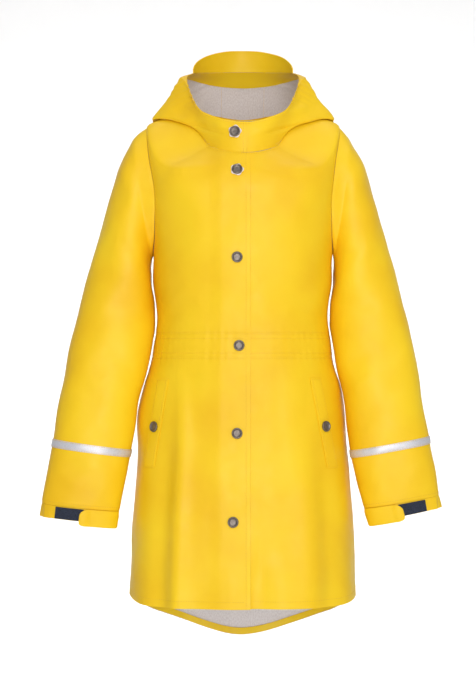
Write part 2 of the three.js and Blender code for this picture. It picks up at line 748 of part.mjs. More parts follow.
function addSnaps() {
  const flowerRise = 2 * layerGap;
  let number = 1;
  const place = (surface, angle, station, flower) => {
    const point = surface(angle, station);
    const normal = surfaceNormal(surface, angle, station);
    if (flower) {
      const washer = addPiece(`flower_washer_${number}`, flowerGeometry(), 'petalWhite');
      seat(washer, point, normal, flowerRise);
    }
    const snap = addPiece(`front_snap_${number}`, snapGeometry(), 'darkNickel');
    seat(snap, point, normal, flower ? flowerRise + trim + seamGap : layerGap);
    number += 1;
  };
  place(overlappingHoodPoint, hoodAngleAtX(hoodSnap.x, hoodSnap.station, -90), hoodSnap.station, true);
  for (const [i, snap] of frontSnaps.entries()) {
    const station = stationAtHeight(-90, snap.z);
    place(overlappingPoint, angleAtX(bodyRings, snap.x, station, -90), station, i === 0);
  }
  for (const name of ['right', 'left']) {
    const { angle, station } = weltPoint(name, 0, pocketSnap);
    const snap = addPiece(`pocket_snap_${name}`, snapGeometry(), 'darkNickel');
    const rise = trim + 3 * layerGap;
    seat(snap, bodyPoint(angle, station), surfaceNormal(bodyPoint, angle, station), rise);
  }
}

addBody();
addTurnedHem();
addSleeve('right');
addSleeve('left');
addHood();
addHoodHem();
addBrim();
addWelts();
addSnaps();

export default coat;
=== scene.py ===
# A child's long hooded raincoat in yellow coated fabric with a grey jersey back, filled out as it is worn.
import math
import bpy
import numpy as np
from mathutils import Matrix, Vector


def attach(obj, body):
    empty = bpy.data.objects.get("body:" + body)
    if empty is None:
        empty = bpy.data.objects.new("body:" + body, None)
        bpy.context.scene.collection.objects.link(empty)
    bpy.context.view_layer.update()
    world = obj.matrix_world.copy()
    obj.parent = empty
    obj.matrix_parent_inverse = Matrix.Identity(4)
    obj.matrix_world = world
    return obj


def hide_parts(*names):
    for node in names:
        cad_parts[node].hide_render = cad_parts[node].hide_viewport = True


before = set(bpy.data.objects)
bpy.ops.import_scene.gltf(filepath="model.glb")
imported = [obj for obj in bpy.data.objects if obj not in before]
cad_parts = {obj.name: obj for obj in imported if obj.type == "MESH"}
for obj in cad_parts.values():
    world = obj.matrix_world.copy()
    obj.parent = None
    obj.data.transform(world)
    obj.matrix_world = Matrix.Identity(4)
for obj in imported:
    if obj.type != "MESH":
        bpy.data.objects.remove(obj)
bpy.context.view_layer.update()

mm = 0.001
degree = math.pi / 180


# Curves through tables
def columns(names, *rows):
    return dict(zip(names.split(), np.array(rows, float).T))


def smoothAt(values, place):  # a curve through evenly spaced values, without overshoot
    values = np.asarray(values, float)
    place = np.asarray(place, float)
    step = np.diff(values, axis=-1)
    product = step[..., :-1] * step[..., 1:]
    total = np.where(product > 0, step[..., :-1] + step[..., 1:], 1)
    inner = np.where(product > 0, 2 * product / total, 0)
    slope = np.concatenate([step[..., :1], inner, step[..., -1:]], -1)
    k = np.clip(np.ceil(place).astype(int) - 1, 0, values.shape[-1] - 2)
    t = place - k

    def pick(array, index):
        if array.ndim == 1:
            return array[index]
        return np.take_along_axis(array, index[..., None], -1)[..., 0]

    low, high = pick(values, k), pick(values, k + 1)
    rise = t * t * (3 - 2 * t)
    leave = t * (1 - t) ** 2 * pick(slope, k)
    arrive = t * t * (t - 1) * pick(slope, k + 1)
    return low + (high - low) * rise + leave + arrive


def smoothStep(start, end, value):
    t = np.clip((value - start) / (end - start), 0, 1)
    return t * t * (3 - 2 * t)


def normalized(vectors):
    return vectors / np.maximum(np.linalg.norm(vectors, axis=-1, keepdims=True), 1e-9)


def surfaceNormal(surface, u, v, du=0.5, dv=0.02):
    alongU = surface(u + du, v) - surface(u - du, v)
    alongV = surface(u, v + dv) - surface(u, v - dv)
    return normalized(np.cross(alongU, alongV))


# The coat's measures in millimetres, as the pattern has them
cloth = {
    "fabric": 1.6,
    "trim": 1.0,
    "seamGap": 0.1,
    "layerGap": 0.4,
    "seamDip": 0.4,  # the cloth rolls in this much at a seam
    "seamReach": 2.6,
    "sharpAngle": 42,
}
closure = {
    "frontEdge": 10,
    "underEdge": -25,
    "hoodEdge": 6,
    "rise": 2.1,
    "rampStart": -48,
    "rampEnd": -28,
    "gapeX": 16,
    "gapeWidth": 13,
    "gapeDepth": 6,
    "gapeTop": -570,
    "gapeBottom": -680,
}
bodyRings = columns(
    "halfWidth middle front back power zFront zFrontQuarter zSide zBackQuarter zBack",
    (161, 18, 132, 112, 2.7, -677, -677, -666, -708, -746),
    (158, 18, 130, 109, 2.7, -598, -597, -590, -622, -652),
    (151.5, 18, 126, 104, 2.6, -502, -501, -499, -518, -537),
    (144.5, 18, 120, 96, 2.5, -412, -411, -411, -420, -430),
    (138, 15, 113, 93, 2.5, -374, -374, -374, -378, -382),
    (131, 11, 107, 93, 2.4, -353, -353, -353, -354, -355),
    (125, 7, 102, 93, 2.4, -333, -333, -333, -333, -333),
    (121, 4, 98, 93, 2.4, -301, -301, -301, -301, -301),
    (119, 3, 101, 98, 2.4, -253, -253, -253, -253, -253),
    (126, 2, 105, 103, 2.4, -196, -195, -188, -192, -194),
    (134, 2, 106, 105, 2.4, -145, -138, -120, -126, -130),
    (138, 1, 102, 101, 2.4, -108, -98, -60, -80, -80),
    (137, 0, 94, 90, 2.3, -80, -72, -8, -40, -36),
    (102, 0, 87, 71, 2.15, -65, -56, 8, -9, -8),
    (66, 0, 80, 52, 2, -51, -40, 20, 13, 8),
)
ringAt = {"hem": 0, "casingBottom": 6, "casingTop": 7, "underarm": 9, "shoulder": 12, "neck": 14}
bodyFolds = columns(
    "facing xTop xBottom zTop zBottom width height",
    (-1, -82, -92, -380, -640, 12, 5.5),
    (-1, -102, -116, -380, -640, 15, -6),
    (-1, 84, 92, -380, -640, 18, 3.6),
    (-1, 108, 122, -390, -650, 16, -4.6),
    (1, -62, -86, -350, -720, 20, 5),
    (1, 38, 62, -350, -720, 22, 5),
    (1, -6, -12, -380, -720, 24, -5),
)
sleeveRings = {
    "right": columns(
        "outerX outerZ innerX innerZ y halfDepth",
        (158, -29, 129.5, -196, 2, 50),
        (172, -56, 130.5, -208, 1, 52),
        (189, -109, 129, -230, 0, 53),
        (204, -160, 125.5, -258, -2, 52),
        (220, -220, 124.5, -288, -6, 49),
        (235, -283, 127.5, -315, -12, 46),
        (246, -335, 136.5, -357, -18, 43),
        (255, -376, 146.5, -396, -22, 41),
        (262, -415, 151.5, -433, -25, 38),
        (268, -453, 157.5, -468, -28, 35),
        (276, -500, 166, -513, -30, 30),
        (282.5, -538, 173.5, -549, -31, 26),
        (284.5, -556, 176.5, -567, -31, 24),
        (285.5, -566, 178, -577, -31, 23),
    ),
    "left": columns(
        "outerX outerZ innerX innerZ y halfDepth",
        (154, -29, 129.5, -196, 2, 50),
        (169, -56, 130, -208, 1, 52),
        (186, -109, 128, -230, 0, 53),
        (201, -160, 123.5, -258, -2, 52),
        (216, -216, 123, -286, -6, 49),
        (230, -278, 126, -310, -12, 46),
        (241, -330, 133, -354, -18, 43),
        (248, -372, 141.5, -394, -23, 41),
        (255, -411, 146, -432, -27, 38),
        (262, -449, 151.5, -469, -29, 35),
        (270, -490, 160, -510, -30, 30),
        (275, -527, 169, -545, -31, 26),
        (277.5, -544, 175, -564, -31, 24),
        (278.5, -553, 178, -574, -31, 23),
    ),
}
armhole = {"halfAngle": 30, "power": 2.15, "middle": 10.5, "half": 1.5}  # from underarm to shoulder
hoodRings = columns(
    "core flare front back zFront zFrontQuarter zSide zBackQuarter zBack",
    (66, 40, 80, 52, -50.4, -39.4, 20.6, 13.6, 8.6),
    (67, 98, 81, 86, -41, -31, 10, -12, -34),
    (68, 126, 81, 119, -32, -20, 1, -62, -112),
    (69, 129, 81, 136, -27, -16, 5, -66, -122),
    (71, 121, 80.5, 151, -23, -9, 16, -36, -80),
    (74, 107, 79.5, 152, -18, -2, 34, 12, -14),
    (77, 94, 78, 138, -13, 3, 54, 56, 46),
    (79, 84, 76.5, 122, -10, 6, 63, 74, 72),
    (79, 60, 75, 110, -8, 8, 61, 79, 86),
)
hoodCut = {
    "edge": 8,
    "centreHalf": 32,
    "flareFront": 70,
    "flarePower": 1.12,
    "backPower": 2.2,
    "sharpness": 12,
    "clearance": 3,
    "seamClearance": 0.15,
    "steepest": 0.2,
}
ringHeights = ("zFront", "zFrontQuarter", "zSide", "zBackQuarter", "zBack")


def ringHeight(rings, angle, station):
    heights = [smoothAt(rings[name], station) for name in ringHeights]
    turn = 1 + np.arcsin(np.clip(np.sin(angle * degree), -1, 1)) / degree / 90
    mirrored = np.stack([heights[1], *heights, heights[3]], -1)  # level at the middle of front and back
    return smoothAt(mirrored, 2 * turn + 1)


def roundedReach(angle, power):
    across = np.abs(np.cos(angle * degree))
    deep = np.abs(np.sin(angle * degree))
    return (across ** power + deep ** power) ** (-1 / power)


# The body
def plainBody(angle, station):
    angle, station = np.broadcast_arrays(np.asarray(angle, float), np.asarray(station, float))
    deep = np.sin(angle * degree)
    reach = roundedReach(angle, smoothAt(bodyRings["power"], station))
    front = smoothAt(bodyRings["front"], station)
    back = smoothAt(bodyRings["back"], station)
    x = smoothAt(bodyRings["halfWidth"], station) * reach * np.cos(angle * degree)
    y = smoothAt(bodyRings["middle"], station) + np.where(deep < 0, front, back) * reach * deep
    return np.stack([x, y, ringHeight(bodyRings, angle, station)], -1)


def foldHeight(points):
    x, y, z = np.moveaxis(points, -1, 0)
    height = np.zeros_like(x)
    for facing, xTop, xBottom, zTop, zBottom, width, rise in zip(*bodyFolds.values()):
        t = np.clip((zTop - z) / (zTop - zBottom), 0, 1)
        off = (x - (xTop + (xBottom - xTop) * t)) / width
        height += np.where(y * facing > 0, rise * smoothStep(0, 0.6, t) * np.exp(-off * off), 0)
    return height


# Under the arms the sides fill out towards the sleeves.
sideSwells = columns(
    "side z reach height",
    (-1, -234, 34, 6.2),
    (-1, -328, 38, 4.0),
    (-1, -414, 42, 5.2),
    (1, -230, 28, 4.8),
    (1, -316, 28, 2.6),
)
swellAcross = {"middle": -6, "reach": 34}


def swellHeight(points):
    x, y, z = np.moveaxis(points, -1, 0)
    height = np.zeros_like(x)
    across = np.exp(-((y - swellAcross["middle"]) / swellAcross["reach"]) ** 2)
    for side, middle, reach, rise in zip(*sideSwells.values()):
        along = np.exp(-((z - middle) / reach) ** 2)
        height += np.where(x * side > 0, rise * along * across, 0)
    return height


# Creases: each runs from (x1, z1) to (x2, z2), bows to one side and rises above the cloth
# or sinks into it. Its far side is skew times as wide as its near side.
creaseColumns = "x1 z1 x2 z2 bow width skew rise"
creaseShape = {"gain": 1.5, "taper": 0.8}
creases = {
    "front": columns(
        creaseColumns,
        (-92, -330, -86, -520, 3, 7, 1.6, 1.2),
        (-70, -345, -60, -470, -4, 9, 1.5, -0.9),
        (-40, -350, -46, -560, 5, 14, 1.2, 0.9),
        (30, -350, 38, -480, 3, 11, 1.4, 0.8),
        (62, -345, 74, -520, -5, 12, 1.3, 1.1),
        (92, -340, 84, -430, 3, 8, 1.5, -0.9),
        (20, -560, 34, -760, 3, 9, 2.0, -1.8),
        (-20, -600, -12, -760, 2, 10, 1.3, 0.9),
        (-60, -560, -70, -760, 4, 14, 1.3, -1.0),
        (54, -600, 62, -760, -3, 13, 1.4, 1.0),
        (-118, -290, -60, -262, 5, 9, 1.4, -1.0),
        (-112, -276, -70, -236, 6, 8, 1.3, 0.9),
        (120, -288, 62, -268, -5, 8, 1.5, -1.1),
        (118, -270, 80, -226, -6, 8, 1.4, 0.9),
        (124, -200, 96, -262, 6, 9, 1.5, 1.2),
        (-124, -196, -98, -256, -5, 9, 1.5, 1.1),
        (-110, -80, -52, -150, 8, 16, 1.2, 1.0),
        (112, -84, 60, -150, -8, 15, 1.3, 1.0),
        (-30, -70, -84, -76, 4, 6, 1.4, -0.7),
        (26, -66, 80, -78, -4, 6, 1.4, -0.7),
        (-3, -90, -16, -190, 3, 10, 1.3, 0.5),
        (18, -200, 30, -290, 3, 12, 1.3, 0.6),
    ),
    "back": columns(
        creaseColumns,
        (-98, -330, -88, -560, 4, 12, 1.4, 1.4),
        (-30, -338, -44, -520, -5, 13, 1.3, 1.2),
        (18, -338, 10, -480, 3, 11, 1.5, -1.0),
        (88, -330, 100, -600, -4, 14, 1.3, 1.5),
        (112, -280, 40, -250, 6, 9, 1.4, -1.3),
        (-114, -284, -52, -258, -5, 9, 1.5, -1.2),
        (-104, -262, -70, -210, 6, 9, 1.3, 1.0),
        (104, -258, 66, -206, -5, 10, 1.4, 1.1),
        (-118, -150, -72, -230, 7, 12, 1.2, 1.0),
        (120, -150, 76, -236, -6, 13, 1.3, 1.1),
        (-4, -140, 8, -290, 4, 18, 1.2, -0.8),
    ),
}


def creaseHeight(x, z, table):
    height = np.zeros_like(x)
    for x1, z1, x2, z2, bow, width, skew, rise in zip(*table.values()):
        length = math.hypot(x2 - x1, z2 - z1)
        alongX, alongZ = (x2 - x1) / length, (z2 - z1) / length
        t = np.clip(((x - x1) * alongX + (z - z1) * alongZ) / length, 0, 1)
        off = (z - z1) * alongX - (x - x1) * alongZ - 4 * bow * t * (1 - t)
        reach = width * np.where(off > 0, skew, 1)
        height += rise * np.exp(-(off / reach) ** 2) * np.sin(np.pi * t) ** creaseShape["taper"]
    return height * creaseShape["gain"]


def creasedBothSides(point, table, frontFade, backFade):
    x, y, z = np.moveaxis(point, -1, 0)
    front = smoothStep(*frontFade, y) * creaseHeight(x, z, table["front"])
    return front + smoothStep(*backFade, y) * creaseHeight(x, z, table["back"])


waves = columns(  # broad unevenness of worn cloth
    "x y z shift height",
    (0.031, 0.012, 0.019, 0.4, 0.34),
    (-0.017, 0.034, 0.027, 2.1, 0.30),
    (0.043, -0.022, -0.014, 4.0, 0.22),
    (0.012, 0.051, -0.038, 5.3, 0.18),
    (-0.056, 0.017, 0.047, 1.2, 0.13),
)


def unevenness(points):
    height = np.zeros(points.shape[:-1])
    for x, y, z, shift, rise in zip(*waves.values()):
        height += rise * np.sin(points @ np.array([x, y, z]) * 2 + shift)
    return height


casing = {
    "lines": (-301, -307.2, -327.4, -333),
    "perDegree": 2.16,  # millimetres round the waist
    "pucker": 0.34,
    "pitch": 12,
    "reach": 6.5,
    "wander": (1.3, 0.11),
    "fade": (0.35, 0.053),
    "groove": 0.35,
    "grooveWidth": 1.4,
}


def casingHeight(angle, z):  # the stitched casing draws the cloth into small puckers
    arc = angle * casing["perDegree"]
    wander, often = casing["wander"]
    fade, slow = casing["fade"]
    wave = np.sin(arc * 2 * np.pi / casing["pitch"] + wander * np.sin(arc * often))
    wave *= 1 - fade + fade * np.sin(arc * slow + 1)
    nearest = np.min([np.abs(z - line) for line in casing["lines"]], axis=0)
    height = casing["pucker"] * wave * np.exp(-(nearest / casing["reach"]) ** 2)
    for line in casing["lines"][1:3]:
        height = height - casing["groove"] * np.exp(-((z - line) / casing["grooveWidth"]) ** 2)
    return height


def bodyForm(angle, station):
    point = plainBody(angle, station)
    normal = surfaceNormal(plainBody, angle, station)
    height = foldHeight(point) + swellHeight(point) + unevenness(point)
    height += creasedBothSides(point, creases, (15, -30), (-15, 30)) + casingHeight(angle, point[..., 2])
    return point + normal * height[..., None]


def overlapHeight(x):
    return closure["rise"] * smoothStep(closure["rampStart"], closure["rampEnd"], x)


def overFront(angle, station):
    point = bodyForm(angle, station)
    point[..., 1] -= overlapHeight(point[..., 0])
    return point


def underFront(angle, station):
    point = bodyForm(angle, station)
    sink = closure["gapeDepth"] * smoothStep(closure["gapeTop"], closure["gapeBottom"], point[..., 2])
    off = (point[..., 0] - closure["gapeX"]) / closure["gapeWidth"]
    point[..., 1] += sink * np.exp(-off * off)
    return point


def bodyAngleAtX(x, station, middle):
    lean = np.arcsin(x / smoothAt(bodyRings["halfWidth"], station)) / degree
    return middle + lean if middle < 0 else middle - lean


def armholeAngle(station):
    off = (np.asarray(station, float) - armhole["middle"]) / armhole["half"]
    return armhole["halfAngle"] * np.sqrt(np.clip(1 - off * off, 0, 1))


def armholeStation(alpha):
    return armhole["middle"] + armhole["half"] * np.cos(np.asarray(alpha, float) * degree)


def sideAngle(station):  # where the front ends at the side seam or the armhole
    gap = cloth["seamGap"] / 2 / smoothAt(bodyRings["halfWidth"], station) / degree
    return np.maximum(armholeAngle(station), gap)


def stationAtHeight(angle, z, surface=plainBody):
    low = np.zeros_like(np.broadcast_arrays(angle, z)[1], float)
    high = low + len(bodyRings["front"]) - 1
    for _ in range(30):
        middle = (low + high) / 2
        below = surface(angle, middle)[..., 2] < z
        low, high = np.where(below, middle, low), np.where(below, high, middle)
    return low


def evenStations(start, end, count):
    ends = plainBody(np.zeros(2), np.array([start, end]))[:, 2]
    stations = stationAtHeight(np.zeros(count + 1), np.linspace(ends[0], ends[1], count + 1))
    stations[0], stations[-1] = start, end
    return stations


def closeAtEnds(count, near=(0.0045, 0.011)):  # fractions with two close steps at each end
    middle = np.linspace(0, 1, count + 1)[1:-1]
    return np.concatenate([[0], near, middle, 1 - np.array(near[::-1]), [1]])


# Sleeves
def sleeveRing(name, alpha, station):
    rings = sleeveRings[name]
    side = 1 if name == "left" else -1
    at = {key: smoothAt(values, station - 1) for key, values in rings.items()}
    outer = np.stack([side * at["outerX"], at["y"], at["outerZ"]], -1)
    inner = np.stack([side * at["innerX"], at["y"], at["innerZ"]], -1)
    centre = (outer + inner) / 2
    reach = roundedReach(alpha, armhole["power"])
    point = centre + (outer - centre) * (reach * np.cos(alpha * degree))[..., None]
    point[..., 1] -= at["halfDepth"] * reach * np.sin(alpha * degree)
    return point


def armholePoint(name, alpha):
    station = armholeStation(alpha)
    opening = armhole["halfAngle"] * np.sin(alpha * degree)
    angle = -opening if name == "left" else 180 + opening
    normal = surfaceNormal(bodyForm, angle, station)
    edge = bodyForm(angle, station) + normal * (cloth["seamGap"] + 0.04)
    hub = plainBody(np.array(0.0 if name == "left" else 180.0), armholeStation(90))
    inward = hub - edge
    inward[..., 0] = 0
    return edge + normalized(inward) * cloth["seamGap"]


def sleevePlain(name, alpha, station):
    alpha, station = np.broadcast_arrays(np.asarray(alpha, float), np.asarray(station, float))
    below = sleeveRing(name, alpha, np.maximum(station, 1))
    start = armholePoint(name, alpha)
    end = sleeveRing(name, alpha, np.ones_like(alpha))
    onward = (sleeveRing(name, alpha, np.full_like(alpha, 1.05)) - end) * 20  # slope at the first ring
    t = np.clip(station, -0.2, 1)[..., None]
    leave = start * (1 + 2 * t) * (1 - t) ** 2 + (end - start) * t * (1 - t) ** 2
    cap = leave + end * t * t * (3 - 2 * t) + onward * t * t * (t - 1)
    return np.where(station[..., None] >= 1, below, cap)


sleeveCreases = {
    "right": columns(
        creaseColumns,
        (-128, -190, -176, -170, 6, 9, 1.5, -1.6),
        (-126, -215, -186, -214, 8, 10, 1.4, 1.5),
        (-126, -250, -196, -262, 7, 11, 1.3, -1.3),
        (-222, -250, -236, -420, -6, 14, 1.4, 1.3),
        (-196, -330, -150, -352, 4, 8, 1.6, -1.2),
        (-200, -360, -156, -378, 4, 7, 1.5, 1.0),
        (-246, -350, -196, -392, -6, 12, 1.3, -1.1),
        (-176, -60, -150, -130, 6, 12, 1.3, 1.2),
        (-198, -120, -186, -220, -5, 14, 1.3, -1.0),
        (-262, -476, -222, -520, -5, 9, 1.4, 0.9),
        (-190, -480, -200, -540, 3, 9, 1.4, 0.8),
    ),
    "left": columns(
        creaseColumns,
        (128, -186, 172, -176, -6, 9, 1.5, -1.6),
        (126, -212, 182, -220, -8, 10, 1.4, 1.5),
        (124, -246, 190, -268, -7, 11, 1.3, -1.4),
        (218, -240, 232, -410, 6, 14, 1.4, 1.4),
        (188, -322, 146, -350, -4, 8, 1.6, -1.3),
        (196, -352, 150, -382, -4, 7, 1.5, 1.1),
        (240, -340, 190, -396, 6, 12, 1.3, -1.1),
        (172, -56, 148, -126, -6, 12, 1.3, 1.2),
        (196, -116, 182, -216, 5, 14, 1.3, -1.0),
        (256, -470, 214, -512, 5, 9, 1.4, 0.9),
        (182, -476, 192, -532, -3, 9, 1.4, 0.8),
    ),
}


def sleeveForm(name, alpha, station):
    point = sleevePlain(name, alpha, station)
    side = 1 if name == "left" else -1
    normal = side * surfaceNormal(lambda a, s: sleevePlain(name, a, s), alpha, station)
    height = creaseHeight(point[..., 0], point[..., 2], sleeveCreases[name])
    height += unevenness(point * 1.3)
    fade = smoothStep(0, 0.6, np.asarray(station, float))  # joins the armhole without a step
    return point + normal * (height * fade)[..., None]


def sleeveNormal(name, alpha, station):
    side = 1 if name == "left" else -1
    return side * surfaceNormal(lambda a, s: sleeveForm(name, a, s), alpha, station)


# The hood
def lowestOver(x, y, clear):  # the height at which cloth rests on the shoulders
    def bodyAt(station):
        names = ("halfWidth", "middle", "front", "back", "power")
        width, middle, front, back, power = (smoothAt(bodyRings[name], station) for name in names)
        return x / width, (y - middle) / np.where(y < middle, front, back), power

    def ratio(station):
        across, deep, power = bodyAt(station)
        return np.abs(across) ** power + np.abs(deep) ** power

    lowest = float(ringAt["shoulder"] - 1)
    outside = np.full_like(x, float(ringAt["neck"]))
    within = np.full_like(x, lowest)
    away = (ratio(outside) < 1) | (ratio(within) > 1)
    for _ in range(26):
        middle = (outside + within) / 2
        beyond = ratio(middle) > 1
        outside, within = np.where(beyond, middle, outside), np.where(beyond, within, middle)
    across, deep, _ = bodyAt(within)
    angle = np.arctan2(deep, across) / degree
    upright = surfaceNormal(plainBody, angle, within)[..., 2]
    height = ringHeight(bodyRings, angle, within) + clear / np.maximum(upright, hoodCut["steepest"])
    return np.where(away, -1e6, height)


def blendedReach(one, other):
    sharpness = hoodCut["sharpness"]
    return (one ** sharpness + other ** sharpness) ** (1 / sharpness)


def hoodReach(angle, station):
    at = {name: smoothAt(hoodRings[name], station) for name in ("core", "flare", "front", "back")}
    power, flarePower = hoodCut["backPower"], hoodCut["flarePower"]
    across = np.abs(np.cos(angle * degree))
    deep = np.abs(np.sin(angle * degree))
    side = blendedReach(at["core"], at["flare"])
    behind = ((across / side) ** power + (deep / at["back"]) ** power) ** (-1 / power)
    core = np.hypot(across / at["core"], deep / at["front"])
    flare = (across / at["flare"]) ** flarePower + (deep / hoodCut["flareFront"]) ** flarePower
    before = blendedReach(1 / core, flare ** (-1 / flarePower))
    return np.where(np.sin(angle * degree) > 0, behind, before)


def hoodPlain(angle, station):
    angle, station = np.broadcast_arrays(np.asarray(angle, float), np.asarray(station, float))
    reach = hoodReach(angle, station)
    x, y = reach * np.cos(angle * degree), reach * np.sin(angle * degree)
    seam, full = hoodCut["seamClearance"], hoodCut["clearance"]
    clear = seam + (full - seam) * smoothStep(0, 0.5, station)
    z = np.maximum(ringHeight(hoodRings, angle, station), lowestOver(x, y, clear))
    return np.stack([x, y, z], -1)


hoodCreases = {
    "front": columns(
        creaseColumns,
        (-96, -4, -50, -18, 3, 4, 1.5, -1.6),
        (-104, 6, -58, -8, -3, 5, 1.4, 1.5),
        (-62, -16, -28, -30, 2, 4, 1.6, -1.3),
        (-84, 22, -56, 2, 3, 4, 1.5, 1.1),
        (-78, 40, -60, 16, -3, 4, 1.4, -1.2),
        (-40, -12, -8, -16, -2, 4, 1.4, 0.8),
        (98, -6, 52, -20, -3, 4, 1.5, -1.7),
        (108, 4, 60, -10, 3, 5, 1.4, 1.5),
        (66, -14, 30, -28, -2, 4, 1.6, -1.4),
        (92, 20, 58, 4, -3, 4, 1.5, 1.2),
        (86, 34, 64, 12, 3, 4, 1.4, -1.3),
        (74, 56, 66, 20, 3, 3, 1.4, 1.1),
        (82, 50, 70, 30, -2, 3, 1.3, -1.1),
        (44, -14, 14, -17, 2, 4, 1.4, 0.8),
    ),
    "back": columns(
        creaseColumns,
        (-96, 10, -20, -60, 10, 10, 1.4, 2.0),
        (-110, -30, -36, -92, 8, 9, 1.4, -1.8),
        (-70, 50, -44, -40, -6, 9, 1.3, -1.3),
        (96, 12, 24, -54, -10, 10, 1.4, 2.0),
        (112, -26, 34, -90, -8, 9, 1.5, -1.8),
        (66, 52, 46, -36, 6, 9, 1.3, -1.4),
        (-14, 60, -8, -60, 4, 9, 1.3, 0.9),
        (16, 40, 12, -90, -4, 9, 1.4, -0.9),
    ),
}
elastic = {  # gathers beside the hood's opening
    "stations": (4.2, 5.4),
    "start": (8, 24),
    "end": (62, 76),
    "sides": (36, 60),
    "slope": (0.35, 0.86),
    "wander": 1.6,
    "pitch": 7.0,
    "height": 0.42,
}
hoodCloth = {
    "frontFade": (10, -20),
    "backFade": (10, 40),
    "free": (1.6, 3),  # stations: the layer on the shoulders stays as it is
    "calm": (3.6, 6.8),  # and the stitched edge is smooth
    "calmed": 0.94,
    "uneven": 1.6,
    "unevenAtEdge": 0.25,
}


def elasticHeight(point, station):
    x, _, z = np.moveaxis(point, -1, 0)
    slopeX, slopeZ = elastic["slope"]
    across = z * slopeZ + np.abs(x) * slopeX + elastic["wander"] * np.sin(z * 0.11 + x * 0.05)
    fade = smoothStep(*elastic["stations"], station) * smoothStep(*elastic["start"], z)
    fade = fade * (1 - smoothStep(*elastic["end"], z)) * smoothStep(*elastic["sides"], np.abs(x))
    return elastic["height"] * fade * np.sin(across * 2 * np.pi / elastic["pitch"])


def hoodForm(angle, station):
    angle, station = np.broadcast_arrays(np.asarray(angle, float), np.asarray(station, float))
    point = hoodPlain(angle, station)
    normal = surfaceNormal(hoodPlain, angle, station)
    detail = creasedBothSides(point, hoodCreases, hoodCloth["frontFade"], hoodCloth["backFade"])
    free = smoothStep(*hoodCloth["free"], station)
    calm = 1 - hoodCloth["calmed"] * smoothStep(*hoodCloth["calm"], station)
    kept = hoodCloth["unevenAtEdge"]
    uneven = hoodCloth["uneven"] * unevenness(point * hoodCloth["uneven"]) * (kept + (1 - kept) * calm)
    height = free * (calm * detail + elasticHeight(point, station) + uneven)
    return point + normal * height[..., None]


def overHood(angle, station):
    point = hoodForm(angle, station)
    point[..., 1] -= np.where(point[..., 1] < 0, overlapHeight(point[..., 0]), 0)
    return point


def hoodAngleAtX(x, station, middle):
    angle = np.full_like(np.asarray(station, float), float(middle))
    for _ in range(12):
        angle = middle - np.sign(middle) * np.arcsin(x / hoodReach(angle, station)) / degree
    return angle


# Walls of cloth
def gridLengths(points, axis):
    steps = np.linalg.norm(np.diff(points, axis=axis), axis=-1)
    start = np.zeros_like(np.take(steps, [0], axis))
    return np.concatenate([start, np.cumsum(steps, axis)], axis)


def seamRoll(points, normals, edges):  # the cloth rolls in beside a seam
    rolled = points.copy()
    for edge in edges:
        axis = 0 if edge in ("bottom", "top") else 1
        if edge in ("top", "right"):
            distance = np.flip(gridLengths(np.flip(points, axis), axis), axis)
        else:
            distance = gridLengths(points, axis)
        sink = cloth["seamDip"] * np.exp(-(distance / cloth["seamReach"]) ** 2)
        rolled -= normals * sink[..., None]
    return rolled


